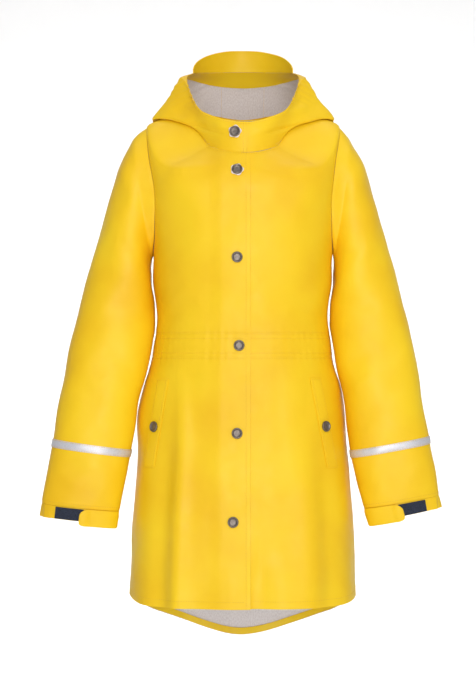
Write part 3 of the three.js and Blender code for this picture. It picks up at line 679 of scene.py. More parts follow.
def makeWall(name, points, normals, thickness, closed=False, rim=0.12, materials=()):
    rows, wide = points.shape[:2]
    outer, inner = points, points - normals * np.asarray(thickness)[..., None]
    total = wide + 1 if closed else wide
    column = np.arange(total) % wide
    vertex = np.arange(rows)[:, None] * wide + column
    place = np.arange(rows * total).reshape(rows, total)
    spread = points[:, column]
    lengthU = gridLengths(spread, 1)
    lengthU -= lengthU[:, -1:] / 2
    lengthV = gridLengths(spread, 0)
    uv = np.stack([lengthU, lengthV], -1).reshape(-1, 2) * mm

    def quads(array):
        a, b, c, d = array[:-1, :-1], array[:-1, 1:], array[1:, 1:], array[1:, :-1]
        return np.stack([a, b, c, d], -1).reshape(-1, 4)

    faces = [quads(vertex), quads(vertex)[:, ::-1] + rows * wide]
    uvFaces = [quads(place), quads(place)[:, ::-1]]
    edge = []
    bottom = [(0, j) for j in range(total)]
    top = [(rows - 1, j) for j in reversed(range(total))]
    if closed:
        loops = [bottom, top]
    else:
        right = [(i, total - 1) for i in range(1, rows)]
        left = [(i, 0) for i in reversed(range(rows - 1))]
        loops = [bottom + right + top[1:] + left]
    middles = []
    count = 2 * rows * wide
    for loop in loops:
        made = {}
        numbers = []
        for i, j in loop:
            key = (i, column[j])
            if key not in made:
                outward = np.zeros(3)
                if i == 0:
                    outward += normalized(points[0, key[1]] - points[1, key[1]])
                if i == rows - 1:
                    outward += normalized(points[-1, key[1]] - points[-2, key[1]])
                if not closed and j == 0:
                    outward += normalized(points[i, 0] - points[i, 1])
                if not closed and j == total - 1:
                    outward += normalized(points[i, -1] - points[i, -2])
                middles.append((outer[key] + inner[key]) / 2 + outward * rim)
                made[key] = count
                count += 1
            numbers.append((vertex[i, j], made[key], place[i, j]))
        for (o, m, p), (oNext, mNext, pNext) in zip(numbers, numbers[1:]):
            edge.append(((oNext, o, m, mNext), (pNext, p, p, pNext)))
            under = rows * wide
            edge.append(((mNext, m, o + under, oNext + under), (pNext, p, p, pNext)))
    allFaces = np.concatenate(faces + [np.array([f for f, _ in edge])])
    allUv = np.concatenate(uvFaces + [np.array([u for _, u in edge])])
    vertices = np.concatenate([outer.reshape(-1, 3), inner.reshape(-1, 3), np.array(middles)]) * mm
    mesh = bpy.data.meshes.new(name)
    mesh.from_pydata(vertices.tolist(), [], allFaces.tolist())
    layer = mesh.uv_layers.new(name="cut")
    layer.data.foreach_set("uv", uv[allUv.reshape(-1)].astype(np.float32).reshape(-1))
    half = len(faces[0])
    slots = np.zeros(len(allFaces), np.int32)
    slots[half:2 * half] = 1 if len(materials) > 1 else 0
    mesh.polygons.foreach_set("material_index", slots)
    mesh.polygons.foreach_set("use_smooth", np.ones(len(allFaces), bool))
    mesh.set_sharp_from_angle(angle=cloth["sharpAngle"] * degree)
    for material in materials:
        mesh.materials.append(material)
    mesh.update()
    piece = bpy.data.objects.new(name, mesh)
    bpy.context.scene.collection.objects.link(piece)
    crosses = np.cross(spread[1:, 1:] - spread[:-1, :-1], spread[1:, :-1] - spread[:-1, 1:])
    area = np.linalg.norm(crosses, axis=-1).sum() / 2 * mm * mm
    wide, long = lengthU[:, -1].max() * 2 * mm, lengthV.max() * mm
    print(f"{name}: {wide:.3f} by {long:.3f} m, {area:.4f} square metres, {len(allFaces)} faces")
    return piece


# Materials
def newMaterial(name, colour, roughness, metallic=0.0):
    material = bpy.data.materials.new(name)
    material.use_nodes = True
    material.diffuse_color = (*colour, 1)
    shader = material.node_tree.nodes["Principled BSDF"]
    shader.inputs["Base Color"].default_value = (*colour, 1)
    shader.inputs["Roughness"].default_value = roughness
    shader.inputs["Metallic"].default_value = metallic
    return material, material.node_tree, shader


def addNode(tree, kind, **settings):
    node = tree.nodes.new(kind)
    for name, value in settings.items():
        if name.startswith("set_"):
            node.inputs[name[4:].replace("_", " ")].default_value = value
        else:
            setattr(node, name, value)
    return node


def join(tree, start, output, end, socket):
    tree.links.new(start.outputs[output], end.inputs[socket])


def addNoise(tree, coordinates, output, scale, detail=3.0, stretch=(1, 1, 1), rough=0.5):
    mapping = addNode(tree, "ShaderNodeMapping")
    mapping.inputs["Scale"].default_value = stretch
    noise = addNode(tree, "ShaderNodeTexNoise", set_Scale=scale, set_Detail=detail, set_Roughness=rough)
    join(tree, coordinates, output, mapping, "Vector")
    join(tree, mapping, "Vector", noise, "Vector")
    return noise


def addRamp(tree, source, output, *stops):
    ramp = addNode(tree, "ShaderNodeValToRGB")
    elements = ramp.color_ramp.elements
    while len(elements) < len(stops):
        elements.new(0.5)
    for element, (place, colour) in zip(elements, stops):
        element.position = place
        element.color = colour if len(colour) == 4 else (*colour, 1)
    join(tree, source, output, ramp, "Fac")
    return ramp


def grey(value):
    return (value, value, value)


def addBump(tree, shader, heights):  # heights: (node, output, strength, distance)
    before = None
    for node, output, strength, distance in heights:
        bump = addNode(tree, "ShaderNodeBump", set_Strength=strength, set_Distance=distance)
        join(tree, node, output, bump, "Height")
        if before:
            join(tree, before, "Normal", bump, "Normal")
        before = bump
    join(tree, before, "Normal", shader, "Normal")


coating = {
    "deep": (0.90, 0.530, 0.006),
    "plain": (0.945, 0.605, 0.010),
    "bright": (0.965, 0.655, 0.014),
    "roughness": 0.46,
    "patchScale": 9.0,
    "grainScale": 1500.0,
    "poreScale": 900.0,
    "crumpleScale": 62.0,
    "specular": 0.30,
    "coat": 0.06,
    "coatRoughness": 0.42,
}


def makeCoatedYellow():
    material, tree, shader = newMaterial("coatedYellow", coating["plain"], coating["roughness"])
    place = addNode(tree, "ShaderNodeTexCoord")
    patches = addNoise(tree, place, "Object", coating["patchScale"], 4.0)
    stops = ((0.30, coating["deep"]), (0.52, coating["plain"]), (0.72, coating["bright"]))
    colour = addRamp(tree, patches, "Fac", *stops)
    join(tree, colour, "Color", shader, "Base Color")
    crumple = addNoise(tree, place, "Object", coating["crumpleScale"], 3.0)
    gloss = addRamp(tree, crumple, "Fac", (0.3, grey(0.40)), (0.7, grey(0.54)))
    join(tree, gloss, "Color", shader, "Roughness")
    grain = addNoise(tree, place, "Object", coating["grainScale"], 2.0)
    pores = addNode(tree, "ShaderNodeTexVoronoi", feature="SMOOTH_F1", set_Scale=coating["poreScale"])
    join(tree, place, "Object", pores, "Vector")
    addBump(tree, shader, [
        (crumple, "Fac", 0.16, 0.0012),
        (pores, "Distance", 0.10, 0.0002),
        (grain, "Fac", 0.16, 0.0002),
    ])
    shader.inputs["Specular IOR Level"].default_value = coating["specular"]
    shader.inputs["Coat Weight"].default_value = coating["coat"]
    shader.inputs["Coat Roughness"].default_value = coating["coatRoughness"]
    return material


jersey = {
    "dark": (0.66, 0.59, 0.565),
    "plain": (0.80, 0.735, 0.71),
    "light": (0.90, 0.85, 0.83),
    "fibreScale": 640.0,
    "fuzzScale": 1300.0,
    "walePitch": 0.0011,
}


def makeJersey():
    material, tree, shader = newMaterial("greyJersey", jersey["plain"], 0.95)
    place = addNode(tree, "ShaderNodeTexCoord")
    fibres = addNoise(tree, place, "UV", jersey["fibreScale"], 5.0, (1, 0.45, 1), 0.7)
    stops = ((0.30, jersey["dark"]), (0.50, jersey["plain"]), (0.68, jersey["light"]))
    melange = addRamp(tree, fibres, "Fac", *stops)
    join(tree, melange, "Color", shader, "Base Color")
    wales = addNode(tree, "ShaderNodeTexWave", bands_direction="X", set_Distortion=1.5)
    wales.inputs["Scale"].default_value = 0.05 / jersey["walePitch"]
    join(tree, place, "UV", wales, "Vector")
    fuzz = addNoise(tree, place, "UV", jersey["fuzzScale"], 3.0)
    addBump(tree, shader, [(wales, "Fac", 0.35, 0.0003), (fuzz, "Fac", 0.3, 0.0003)])
    shader.inputs["Sheen Weight"].default_value = 0.25
    shader.inputs["Sheen Roughness"].default_value = 0.5
    return material


def makeReflective():
    material, tree, shader = newMaterial("reflectiveTape", (0.70, 0.69, 0.72), 0.38, 0.35)
    place = addNode(tree, "ShaderNodeTexCoord")
    beads = addNode(tree, "ShaderNodeTexVoronoi", set_Scale=1500.0)
    join(tree, place, "UV", beads, "Vector")
    tint = addRamp(tree, beads, "Distance", (0.0, (0.86, 0.85, 0.88)), (0.8, (0.60, 0.59, 0.63)))
    join(tree, tint, "Color", shader, "Base Color")
    wear = addNoise(tree, place, "Object", 45.0, 4.0)
    gloss = addRamp(tree, wear, "Fac", (0.3, grey(0.30)), (0.7, grey(0.46)))
    join(tree, gloss, "Color", shader, "Roughness")
    addBump(tree, shader, [(wear, "Fac", 0.15, 0.0008), (beads, "Distance", 0.25, 0.0001)])
    return material


def makeNickel():
    material, tree, shader = newMaterial("darkNickel", (0.20, 0.172, 0.152), 0.4, 0.82)
    place = addNode(tree, "ShaderNodeTexCoord")
    brushing = addNoise(tree, place, "Object", 700.0, 4.0)
    gloss = addRamp(tree, brushing, "Fac", (0.3, grey(0.34)), (0.7, grey(0.52)))
    join(tree, gloss, "Color", shader, "Roughness")
    tarnish = addNoise(tree, place, "Object", 260.0, 3.0)
    tint = addRamp(tree, tarnish, "Fac", (0.3, (0.15, 0.125, 0.108)), (0.7, (0.25, 0.215, 0.19)))
    join(tree, tint, "Color", shader, "Base Color")
    addBump(tree, shader, [(brushing, "Fac", 0.12, 0.0001)])
    return material


clouded = {  # one noise gives the tone and the bump
    "navyHook": {
        "colour": (0.008, 0.012, 0.028),
        "roughness": 0.85,
        "noise": (900.0, 3.0),
        "tones": ((0.35, (0.004, 0.006, 0.016)), (0.65, (0.022, 0.032, 0.064))),
        "bump": (0.8, 0.0006),
        "finish": ("Sheen Weight", 0.2),
    },
    "petalWhite": {
        "colour": (0.84, 0.74, 0.71),
        "roughness": 0.4,
        "noise": (160.0, 3.0),
        "tones": ((0.3, (0.78, 0.66, 0.64)), (0.7, (0.88, 0.80, 0.78))),
        "bump": (0.1, 0.0002),
        "finish": ("Coat Weight", 0.25),
    },
    "yellowThread": {
        "colour": (0.86, 0.50, 0.012),
        "roughness": 0.6,
        "noise": (2200.0, 2.0),
        "tones": ((0.3, (0.70, 0.38, 0.008)), (0.7, (0.93, 0.60, 0.02))),
        "bump": (0.4, 0.0002),
        "finish": ("Sheen Weight", 0.0),
    },
}


def makeClouded(name):
    look = clouded[name]
    material, tree, shader = newMaterial(name, look["colour"], look["roughness"])
    place = addNode(tree, "ShaderNodeTexCoord")
    cloud = addNoise(tree, place, "Object", *look["noise"])
    tint = addRamp(tree, cloud, "Fac", *look["tones"])
    join(tree, tint, "Color", shader, "Base Color")
    addBump(tree, shader, [(cloud, "Fac", *look["bump"])])
    socket, value = look["finish"]
    shader.inputs[socket].default_value = value
    return material


coatedYellow = makeCoatedYellow()
greyJersey = makeJersey()
reflectiveTape = makeReflective()
navyHook = makeClouded("navyHook")
darkNickel = makeNickel()
petalWhite = makeClouded("petalWhite")
yellowThread = makeClouded("yellowThread")
print("materials made")


def dress(piece, slotName, *nodes):
    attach(piece, "root")
    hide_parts(*nodes)


# Body panels. A cut is the width, length and area of a piece, in metres and square metres.
bodyRows = {"lap": 0.002, "skirt": 96, "casing": 30, "toArm": 36, "arm": 67, "yoke": 30}
bodyColumns = {"front": 84, "back": 142}


def bandStations(band):
    lap = bodyRows["lap"]
    if band == "skirt":
        count = bodyRows["skirt"]
        even = evenStations(ringAt["hem"] + lap, ringAt["casingBottom"] - lap, count)
        return np.interp(closeAtEnds(count, (0.002, 0.005)), np.linspace(0, 1, count + 1), even)
    if band == "waist_casing":
        start, end = ringAt["casingBottom"] + lap, ringAt["casingTop"] - lap
        return start + (end - start) * closeAtEnds(bodyRows["casing"], (0.012,))
    waistToArm = evenStations(ringAt["casingTop"] + lap, ringAt["underarm"], bodyRows["toArm"])
    near = waistToArm[0] + (waistToArm[1] - waistToArm[0]) * np.array([0.25, 0.6])
    arm = armholeStation(np.linspace(180, 0, bodyRows["arm"]))
    yoke = np.linspace(ringAt["shoulder"], ringAt["neck"] - lap, bodyRows["yoke"])
    return np.concatenate([waistToArm[:1], near, waistToArm[1:-1], arm, yoke[1:]])


def addBodyBand(band):
    station = bandStations(band)[:, None]
    side = sideAngle(station)
    across = closeAtEnds(bodyColumns["front"])[None, :]
    acrossBack = closeAtEnds(bodyColumns["back"], (0.003, 0.007))[None, :]
    rightEdge = bodyAngleAtX(closure["frontEdge"], station, -90)
    leftEdge = bodyAngleAtX(closure["underEdge"], station, -90)
    panels = {
        "front_right": (overFront, -180 + side + (rightEdge + 180 - side) * across, ("left",)),
        "front_left": (underFront, leftEdge + (-side - leftEdge) * across, ("right",)),
        "back": (bodyForm, side + (180 - 2 * side) * acrossBack, ("left", "right")),
    }
    seams = {"skirt": ("top",), "waist_casing": ("top", "bottom"), "bodice": ("bottom",)}[band]
    for panel, (surface, angle, sides) in panels.items():
        rows = np.broadcast_to(station, angle.shape)
        points = surface(angle, rows)
        normals = surfaceNormal(surface, angle, rows, 0.25, 0.012)
        points = seamRoll(points, normals, seams + sides)
        name = f"cloth_{band}_{panel}"
        piece = makeWall(name, points, normals, cloth["fabric"], materials=(coatedYellow, greyJersey))
        dress(piece, "coated", f"{band}_{panel}")


for bodyBand in ("skirt", "waist_casing", "bodice"):
    addBodyBand(bodyBand)
print("body panels made")

tailHem = {"width": 9, "inside": 2.0, "cut": (0.484, 0.0102, 0.0042)}


def addTailHem():
    height = plainBody(0.0, 1.0)[2] - plainBody(0.0, 0.0)[2]
    station = np.linspace(0.012, tailHem["width"] / height, 5)[:, None]
    side = sideAngle(station)
    angle = side + (180 - 2 * side) * np.linspace(0, 1, 140)[None, :]
    rows = np.broadcast_to(station, angle.shape)
    points = bodyForm(angle, rows)
    normals = surfaceNormal(bodyForm, angle, rows, 0.25, 0.012)
    points = points - normals * tailHem["inside"]
    piece = makeWall("cloth_tail_hem", points, normals, cloth["trim"], materials=(coatedYellow,))
    dress(piece, "coated", "skirt_back_turned_hem")


addTailHem()


# Sleeves and cuffs
sleeve = {
    "hemSeam": 12,
    "end": 13,
    "tape": 10,
    "tapeWidth": 10,
    "tapeStation": 38,
    "lap": 0.008,
    "capRows": 26,
    "armRows": 104,
    "columns": 120,
    "hemColumns": 180,
    "gatherHeight": 1.4,
    "gatherReach": 48,
    "gatherTurn": 10,
    "cut": (0.452, 0.557, 0.1435),
    "hemCut": (0.265, 0.020, 0.0048),
    "tapeCut": (0.304, 0.0112, 0.0033),
}
cuffTab = {
    "from": 168,
    "to": 92,
    "end": 13.6,
    "corner": 7,
    "perDegree": 0.62,  # millimetres round the cuff
    "perStation": 16,  # and along it
    "crown": 0.5,
    "step": (2, 12),
    "cut": (0.062, 0.027, 0.0015),
}
cuffPatch = {"from": 97, "to": 55, "cut": (0.041, 0.017, 0.00066)}


def gatherHeight(alpha):
    off = (alpha + 180) % 360 - 180
    fine = 0.35 * np.cos(off * 2.3 * sleeve["gatherTurn"] * degree + 1.0)
    wave = np.cos(off * sleeve["gatherTurn"] * degree) + fine
    return sleeve["gatherHeight"] * np.exp(-(off / sleeve["gatherReach"]) ** 2) * wave


def sleeveSamples(name, stations, alphas):
    order = alphas if name == "left" else alphas[::-1]
    alpha, station = np.broadcast_arrays(order[None, :], stations[:, None])
    points = sleeveForm(name, alpha, station)
    return points, sleeveNormal(name, alpha, station), alpha, station


def addSleeve(name):
    allRound = np.linspace(0, 360, sleeve["columns"] + 1)[:-1]
    cap = np.linspace(0, 1, sleeve["capRows"])
    arm = np.linspace(1, sleeve["hemSeam"] - sleeve["lap"], sleeve["armRows"])
    near = np.array([0.012, 0.03])
    stations = np.concatenate([cap[:1], near, cap[1:], arm[1:-1], arm[-1] - np.array([0.05, 0.02, 0])])
    points, normals, _, _ = sleeveSamples(name, stations, allRound)
    points = seamRoll(points, normals, ("top", "bottom"))
    faces = (coatedYellow, greyJersey)
    tube = makeWall(f"cloth_sleeve_{name}", points, normals, cloth["fabric"], True, 0.12, faces)
    dress(tube, "coated", f"sleeve_{name}")

    start, end = sleeve["hemSeam"] + sleeve["lap"], sleeve["end"]
    stations = np.concatenate([[start, start + 0.03, start + 0.08], np.linspace(start, end, 12)[2:]])
    closer = np.linspace(0, 360, sleeve["hemColumns"] + 1)[:-1]
    points, normals, alpha, station = sleeveSamples(name, stations, closer)
    gathers = gatherHeight(alpha) * smoothStep(start - 0.3, end, station)
    points = seamRoll(points + normals * gathers[..., None], normals, ("bottom",))
    faces = (coatedYellow, coatedYellow)
    hem = makeWall(f"cloth_sleeve_hem_{name}", points, normals, cloth["fabric"], True, 0.3, faces)
    dress(hem, "coated", f"sleeve_hem_{name}")

    half = sleeve["tapeWidth"] / 2 / sleeve["tapeStation"]
    stations = np.linspace(sleeve["tape"] - half, sleeve["tape"] + half, 7)
    points, normals, _, _ = sleeveSamples(name, stations, allRound)
    points = points + normals * (cloth["trim"] + cloth["layerGap"])
    points = seamRoll(points, normals, ("top", "bottom"))
    band = makeWall(f"band_{name}", points, normals, cloth["trim"], True, 0.15, (reflectiveTape,))
    dress(band, "reflective", f"reflective_tape_{name}")


def roundedRectangle(across, along, halfAcross, halfAlong, corner):  # pulls a grid's corners in
    beyond = np.clip(np.abs(along * halfAlong) - (halfAlong - corner), 0, corner)
    limit = halfAcross - (corner - np.sqrt(np.maximum(corner ** 2 - beyond ** 2, 0)))
    return across * limit / halfAcross


def addCuffTab(name):
    rise = cloth["trim"] + 2 * cloth["layerGap"]
    reach = (cuffTab["from"] - cuffTab["to"]) / 2
    start, end = sleeve["hemSeam"] + 0.02, cuffTab["end"]
    half = (end - start) / 2
    across = np.linspace(-1, 1, 49)[None, :]
    along = np.sin(np.linspace(-0.5, 0.5, 23) * np.pi)[:, None]
    across, along = np.broadcast_arrays(across, along)
    sizes = (reach * cuffTab["perDegree"], half * cuffTab["perStation"], cuffTab["corner"])
    across = roundedRectangle(across, along, *sizes)
    turned = 1 if name == "left" else -1
    alpha = (cuffTab["from"] + cuffTab["to"]) / 2 + turned * across * reach
    station = start + half + along * half
    points = sleeveForm(name, alpha, station)
    normals = sleeveNormal(name, alpha, station)
    stepStart, stepEnd = cuffTab["step"]
    over = 1 - smoothStep(cuffPatch["from"] + stepStart, cuffPatch["from"] + stepEnd, alpha)
    crown = cuffTab["crown"] * (1 - np.abs(along) ** 4) * (1 - np.abs(across) ** 6)
    height = cloth["fabric"] + cloth["layerGap"] + rise * over + crown
    points = points + normals * height[..., None]
    piece = makeWall(f"cloth_tab_{name}", points, normals, cloth["fabric"], False, 0.35, (coatedYellow,))
    dress(piece, "coated", f"cuff_tab_{name}")


def addCuffPatch(name):
    across = np.linspace(cuffPatch["to"], cuffPatch["from"], 31)
    stations = np.linspace(sleeve["hemSeam"] + 0.05, sleeve["end"] - 0.05, 13)
    points, normals, _, _ = sleeveSamples(name, stations, across)
    points = points + normals * (cloth["trim"] + 2 * cloth["layerGap"])
    piece = makeWall(f"patch_{name}", points, normals, cloth["trim"], False, 0.2, (navyHook,))
    dress(piece, "hook", f"cuff_patch_{name}")


for sleeveName in ("right", "left"):
    addSleeve(sleeveName)
    addCuffPatch(sleeveName)
    addCuffTab(sleeveName)
print("sleeves made")

# The hood, its turned edge and its brim
hood = {
    "gap": 0.1,
    "foldStation": 3,
    "lowerRows": 50,
    "upperRows": 56,
    "sideColumns": 168,
    "centreColumns": 26,
    "pressedFold": (2.6, 4.2),  # the cloth is thin where it turns over the shoulder
    "pressedEdge": (5.2, 6.6),  # and beside its edge
    "pressedShare": 0.85,
    "pressed": 0.7,
    "bandStations": 1.35,
    "bandInside": 0.405,
    "bandGap": 0.12,
    "sideCut": (0.408, 0.376, 0.0490),
    "centreCut": (0.075, 0.388, 0.0246),
    "hemCut": (0.646, 0.019, 0.0067),
    "brimCut": (0.193, 0.031, 0.0047),
}
brim = {
    "halfWidth": 73,
    "height": 30,
    "power": 2.4,
    "lean": -7,
    "waves": ((1.2, 5.2, 0.8), (0.7, 11, 2)),
    "rows": 18,
    "columns": 101,
}


def hoodPanelAngles(panel, station):
    half = hoodCut["centreHalf"]
    if panel == "left":
        start = hoodAngleAtX(closure["underEdge"], station, -90)
        end = hoodAngleAtX(half + hood["gap"], station, 90)
        return start, end
    if panel == "right":
        start = hoodAngleAtX(-half - hood["gap"], station, 90)
        return start, 360 + hoodAngleAtX(closure["hoodEdge"], station, -90)
    start = hoodAngleAtX(half - hood["gap"], station, 90)
    return start, 180 - start


def addHoodPanel(panel, name, surface, seams):
    kind = "centre" if panel == "centre" else "side"
    edge = hoodCut["edge"]
    lower = np.linspace(0, hood["foldStation"], hood["lowerRows"])
    upper = np.linspace(hood["foldStation"], edge, hood["upperRows"])
    station = np.concatenate([lower[:1], [0.02], lower[1:], upper[1:-1], [edge - 0.02, edge]])[:, None]
    start, end = hoodPanelAngles(panel, station)
    across = closeAtEnds(hood[f"{kind}Columns"], (0.004, 0.01))[None, :]
    angle = start + (end - start) * across
    rows = np.broadcast_to(station, angle.shape)
    points = surface(angle, rows)
    normals = surfaceNormal(surface, angle, rows, 0.3, 0.015)
    points = seamRoll(points, normals, seams)
    pressed = 1 - smoothStep(*hood["pressedFold"], rows)
    pressed += hood["pressedShare"] * smoothStep(*hood["pressedEdge"], rows)
    thickness = cloth["fabric"] * (1 - hood["pressed"] * pressed)
    piece = makeWall(f"cloth_{name}", points, normals, thickness, materials=(coatedYellow, greyJersey))
    dress(piece, "coated", name)


addHoodPanel("right", "hood_side_right", overHood, ("left",))
addHoodPanel("left", "hood_side_left", hoodForm, ("right",))
addHoodPanel("centre", "hood_centre", hoodForm, ("left", "right"))


def addHoodHem():
    edge = hoodCut["edge"]
    station = np.linspace(edge - hood["bandStations"], edge - 0.01, 12)[:, None]
    start = hoodAngleAtX(closure["underEdge"], station, -90)
    end = 360 + hoodAngleAtX(closure["rampEnd"] - 3, station, -90)
    angle = start + (end - start) * np.linspace(0, 1, 361)[None, :]
    rows = np.broadcast_to(station, angle.shape)
    points = hoodForm(angle, rows)
    normals = surfaceNormal(hoodForm, angle, rows, 0.3, 0.015)
    points = points - normals * (hood["bandInside"] * cloth["fabric"] + hood["bandGap"])
    piece = makeWall("cloth_hood_hem", points, normals, cloth["trim"] / 2, False, 0.1, (coatedYellow,))
    dress(piece, "coated", "hood_turned_hem")


def brimForm(u, row):
    across = 1 - 2 * u
    station = np.full_like(across, float(hoodCut["edge"]))
    angle = hoodAngleAtX(across * brim["halfWidth"], station, 90)
    base = hoodForm(angle, station)
    shape = np.maximum(1 - np.minimum(np.abs(across), 1) ** brim["power"], 1e-6)
    rise = brim["height"] * shape ** (1 / brim["power"])
    wave = sum(size * row * np.sin(across * often + shift) for size, often, shift in brim["waves"])
    base[..., 1] += brim["lean"] * row * rise / brim["height"] + wave
    base[..., 2] += 2 * cloth["seamGap"] + row * rise
    return base


def addBrim():
    row = np.concatenate([[0, 0.02], np.linspace(0, 1, brim["rows"])[1:-1], [0.985, 1]])[:, None]
    u = 0.5 - 0.496 * np.cos(np.linspace(0, np.pi, brim["columns"]))[None, :]
    u, row = np.broadcast_arrays(u, row)
    points = brimForm(u, row)
    normals = surfaceNormal(brimForm, u, row, 0.01, 0.02)
    piece = makeWall("cloth_hood_brim", points, normals, cloth["fabric"], False, 0.35, (coatedYellow,))
    dress(piece, "coated", "hood_brim")


addHoodHem()
addBrim()
print("hood made")

# Pocket welts
pocket = {
    "right": {"xTop": -111, "zTop": -364, "xBottom": -131, "zBottom": -486},
    "left": {"xTop": 100, "zTop": -362, "xBottom": 124, "zBottom": -486},
    "width": 16,
    "cut": (0.027, 0.129, 0.0031),
}


def bodyPlaceAt(x, z):  # the angle and station of the front where it passes x and z
    station = np.full_like(x, 3.0)
    for _ in range(3):
        inner, outer = np.full_like(x, -90.0), np.zeros_like(x)
        for _ in range(24):
            middle = (inner + outer) / 2
            angle = np.where(x < 0, -180 - middle, middle)
            short = np.abs(bodyForm(angle, station)[..., 0]) < np.abs(x)
            inner, outer = np.where(short, middle, inner), np.where(short, outer, middle)
        angle = np.where(x < 0, -180 - inner, inner)
        station = stationAtHeight(angle, z, bodyForm)
    return angle, station


def weltPlace(name, across, along):
    line = pocket[name]
    z = line["zBottom"] + (line["zTop"] - line["zBottom"]) * along
    x = line["xBottom"] + (line["xTop"] - line["xBottom"]) * along + across
    return bodyPlaceAt(x, z)


def addWelt(name):
    along = closeAtEnds(44, (0.01, 0.025))[:, None]
    across = (closeAtEnds(10, (0.04,)) - 0.5)[None, :] * pocket["width"]
    across, along = np.broadcast_arrays(across, along)
    angle, station = weltPlace(name, across, along)
    points = bodyForm(angle, station)
    normals = surfaceNormal(bodyForm, angle, station, 0.25, 0.012)
    points = points + normals * (cloth["trim"] + 2 * cloth["layerGap"])
    points = seamRoll(points, normals, ("top", "bottom", "left", "right"))
    piece = makeWall(f"cloth_welt_{name}", points, normals, cloth["trim"], False, 0.25, (coatedYellow,))
    dress(piece, "coated", f"pocket_welt_{name}")


addWelt("right")
addWelt("left")
print("pocket welts made")

# Snaps with a raised ring, and the flower washers under two of them
snap = {
    "profile": columns(
        "radius height",
        (0.0, 1.05), (2.2, 1.0), (3.9, 1.0), (4.7, 1.2), (5.3, 1.75), (5.9, 2.35), (6.5, 2.6),
        (7.0, 2.4), (7.35, 1.8), (7.5, 1.0), (7.5, 0.3), (7.3, 0.0), (3.6, 0.0), (0.0, 0.0),
    ),
    "onHood": (-11, 4),
    "front": ((-8.2, -76), (-8.2, -196), (-5.5, -317), (-8.2, -437), (-13.6, -558)),
    "onPocket": 0.46,
    "sides": 56,
    "sharpAngle": 50,
}
flower = {
    "profile": columns(
        "share dip height",
        (0.0, 0.0, 1.0), (0.5, 0.3, 1.0), (0.84, 0.85, 1.0), (0.93, 1.0, 0.93), (0.975, 1.0, 0.78),
        (1.0, 1.0, 0.5), (0.975, 1.0, 0.2), (0.92, 1.0, 0.0), (0.4, 0.3, 0.0), (0.0, 0.0, 0.0),
    ),
    "radius": 9.4,
    "dip": 1.5,
    "petals": 5,
    "sides": 100,
    "thickness": 1.0,
}


def makeTurned(name, rings, material):  # rings of points from the top pole to the bottom pole
    count = len(rings[1])
    vertices = [rings[0][0]] + [p for ring in rings[1:-1] for p in ring] + [rings[-1][0]]
    faces = [(0, 1 + j, 1 + (j + 1) % count) for j in range(count)]
    for i in range(len(rings) - 3):
        a, b = 1 + i * count, 1 + (i + 1) * count
        faces += [(a + j, b + j, b + (j + 1) % count, a + (j + 1) % count) for j in range(count)]
    last, final = 1 + (len(rings) - 3) * count, len(vertices) - 1
    faces += [(last + j, final, last + (j + 1) % count) for j in range(count)]
    mesh = bpy.data.meshes.new(name)
    mesh.from_pydata(vertices, [], faces)
    mesh.polygons.foreach_set("use_smooth", np.ones(len(faces), bool))
    mesh.set_sharp_from_angle(angle=snap["sharpAngle"] * degree)
    mesh.materials.append(material)
    piece = bpy.data.objects.new(name, mesh)
    bpy.context.scene.collection.objects.link(piece)
    return piece


def seatOn(piece, point, normal, rise):
    turn = Vector((0, 0, 1)).rotation_difference(Vector(normal)).to_matrix().to_4x4()
    turn.translation = Vector(point + normal * rise) * mm
    piece.data.transform(turn)


def ringOf(radius, height, sides, petals=0, dip=0.0):
    points = []
    for j in range(sides):
        angle = 2 * math.pi * j / sides
        reach = radius - dip * (0.5 - 0.5 * math.cos(petals * angle)) if petals else radius
        points.append((reach * math.cos(angle) * mm, reach * math.sin(angle) * mm, height * mm))
    return points


def addSnap(name, node, point, normal, rise):
    rings = [ringOf(radius, height, snap["sides"]) for radius, height in zip(*snap["profile"].values())]
    piece = makeTurned(name, rings, darkNickel)
    seatOn(piece, point, normal, rise)
    dress(piece, "snap", node)


def addFlower(name, node, point, normal, rise):
    rings = []
    for share, dip, height in zip(*flower["profile"].values()):
        petals = {"petals": flower["petals"], "dip": flower["dip"] * dip}
        rings.append(ringOf(flower["radius"] * share, height, flower["sides"], **petals))
    piece = makeTurned(name, rings, petalWhite)
    seatOn(piece, point, normal, rise)
    dress(piece, "petal", node)


def placeOnSurface(surface, angle, station):
    angle, station = np.array(float(angle)), np.array(float(station))
    return surface(angle, station), surfaceNormal(surface, angle, station)


def addSnaps():
    flowerRise = 2 * cloth["layerGap"]
    onFlower = flowerRise + flower["thickness"] + cloth["seamGap"]
    x, station = snap["onHood"]
    point, normal = placeOnSurface(overHood, hoodAngleAtX(x, np.array(float(station)), -90), station)
    addFlower("flower_hood", "flower_washer_1", point, normal, flowerRise)
    addSnap("snap_hood", "front_snap_1", point, normal, onFlower)
    for i, (x, z) in enumerate(snap["front"]):
        station = float(stationAtHeight(np.array(-90.0), np.array(float(z)), bodyForm))
        point, normal = placeOnSurface(overFront, bodyAngleAtX(x, station, -90), station)
        if i == 0:
            addFlower("flower_front", "flower_washer_2", point, normal, flowerRise)
        rise = cloth["layerGap"] if i else onFlower
        addSnap(f"snap_front_{i + 1}", f"front_snap_{i + 2}", point, normal, rise)
    for name in ("right", "left"):
        angle, station = weltPlace(name, np.array([0.0]), np.array([snap["onPocket"]]))
        point, normal = placeOnSurface(bodyForm, angle[0], station[0])
        rise = cloth["trim"] + 3 * cloth["layerGap"]
        addSnap(f"snap_pocket_{name}", f"pocket_snap_{name}", point, normal, rise)


addSnaps()
print("snaps made")

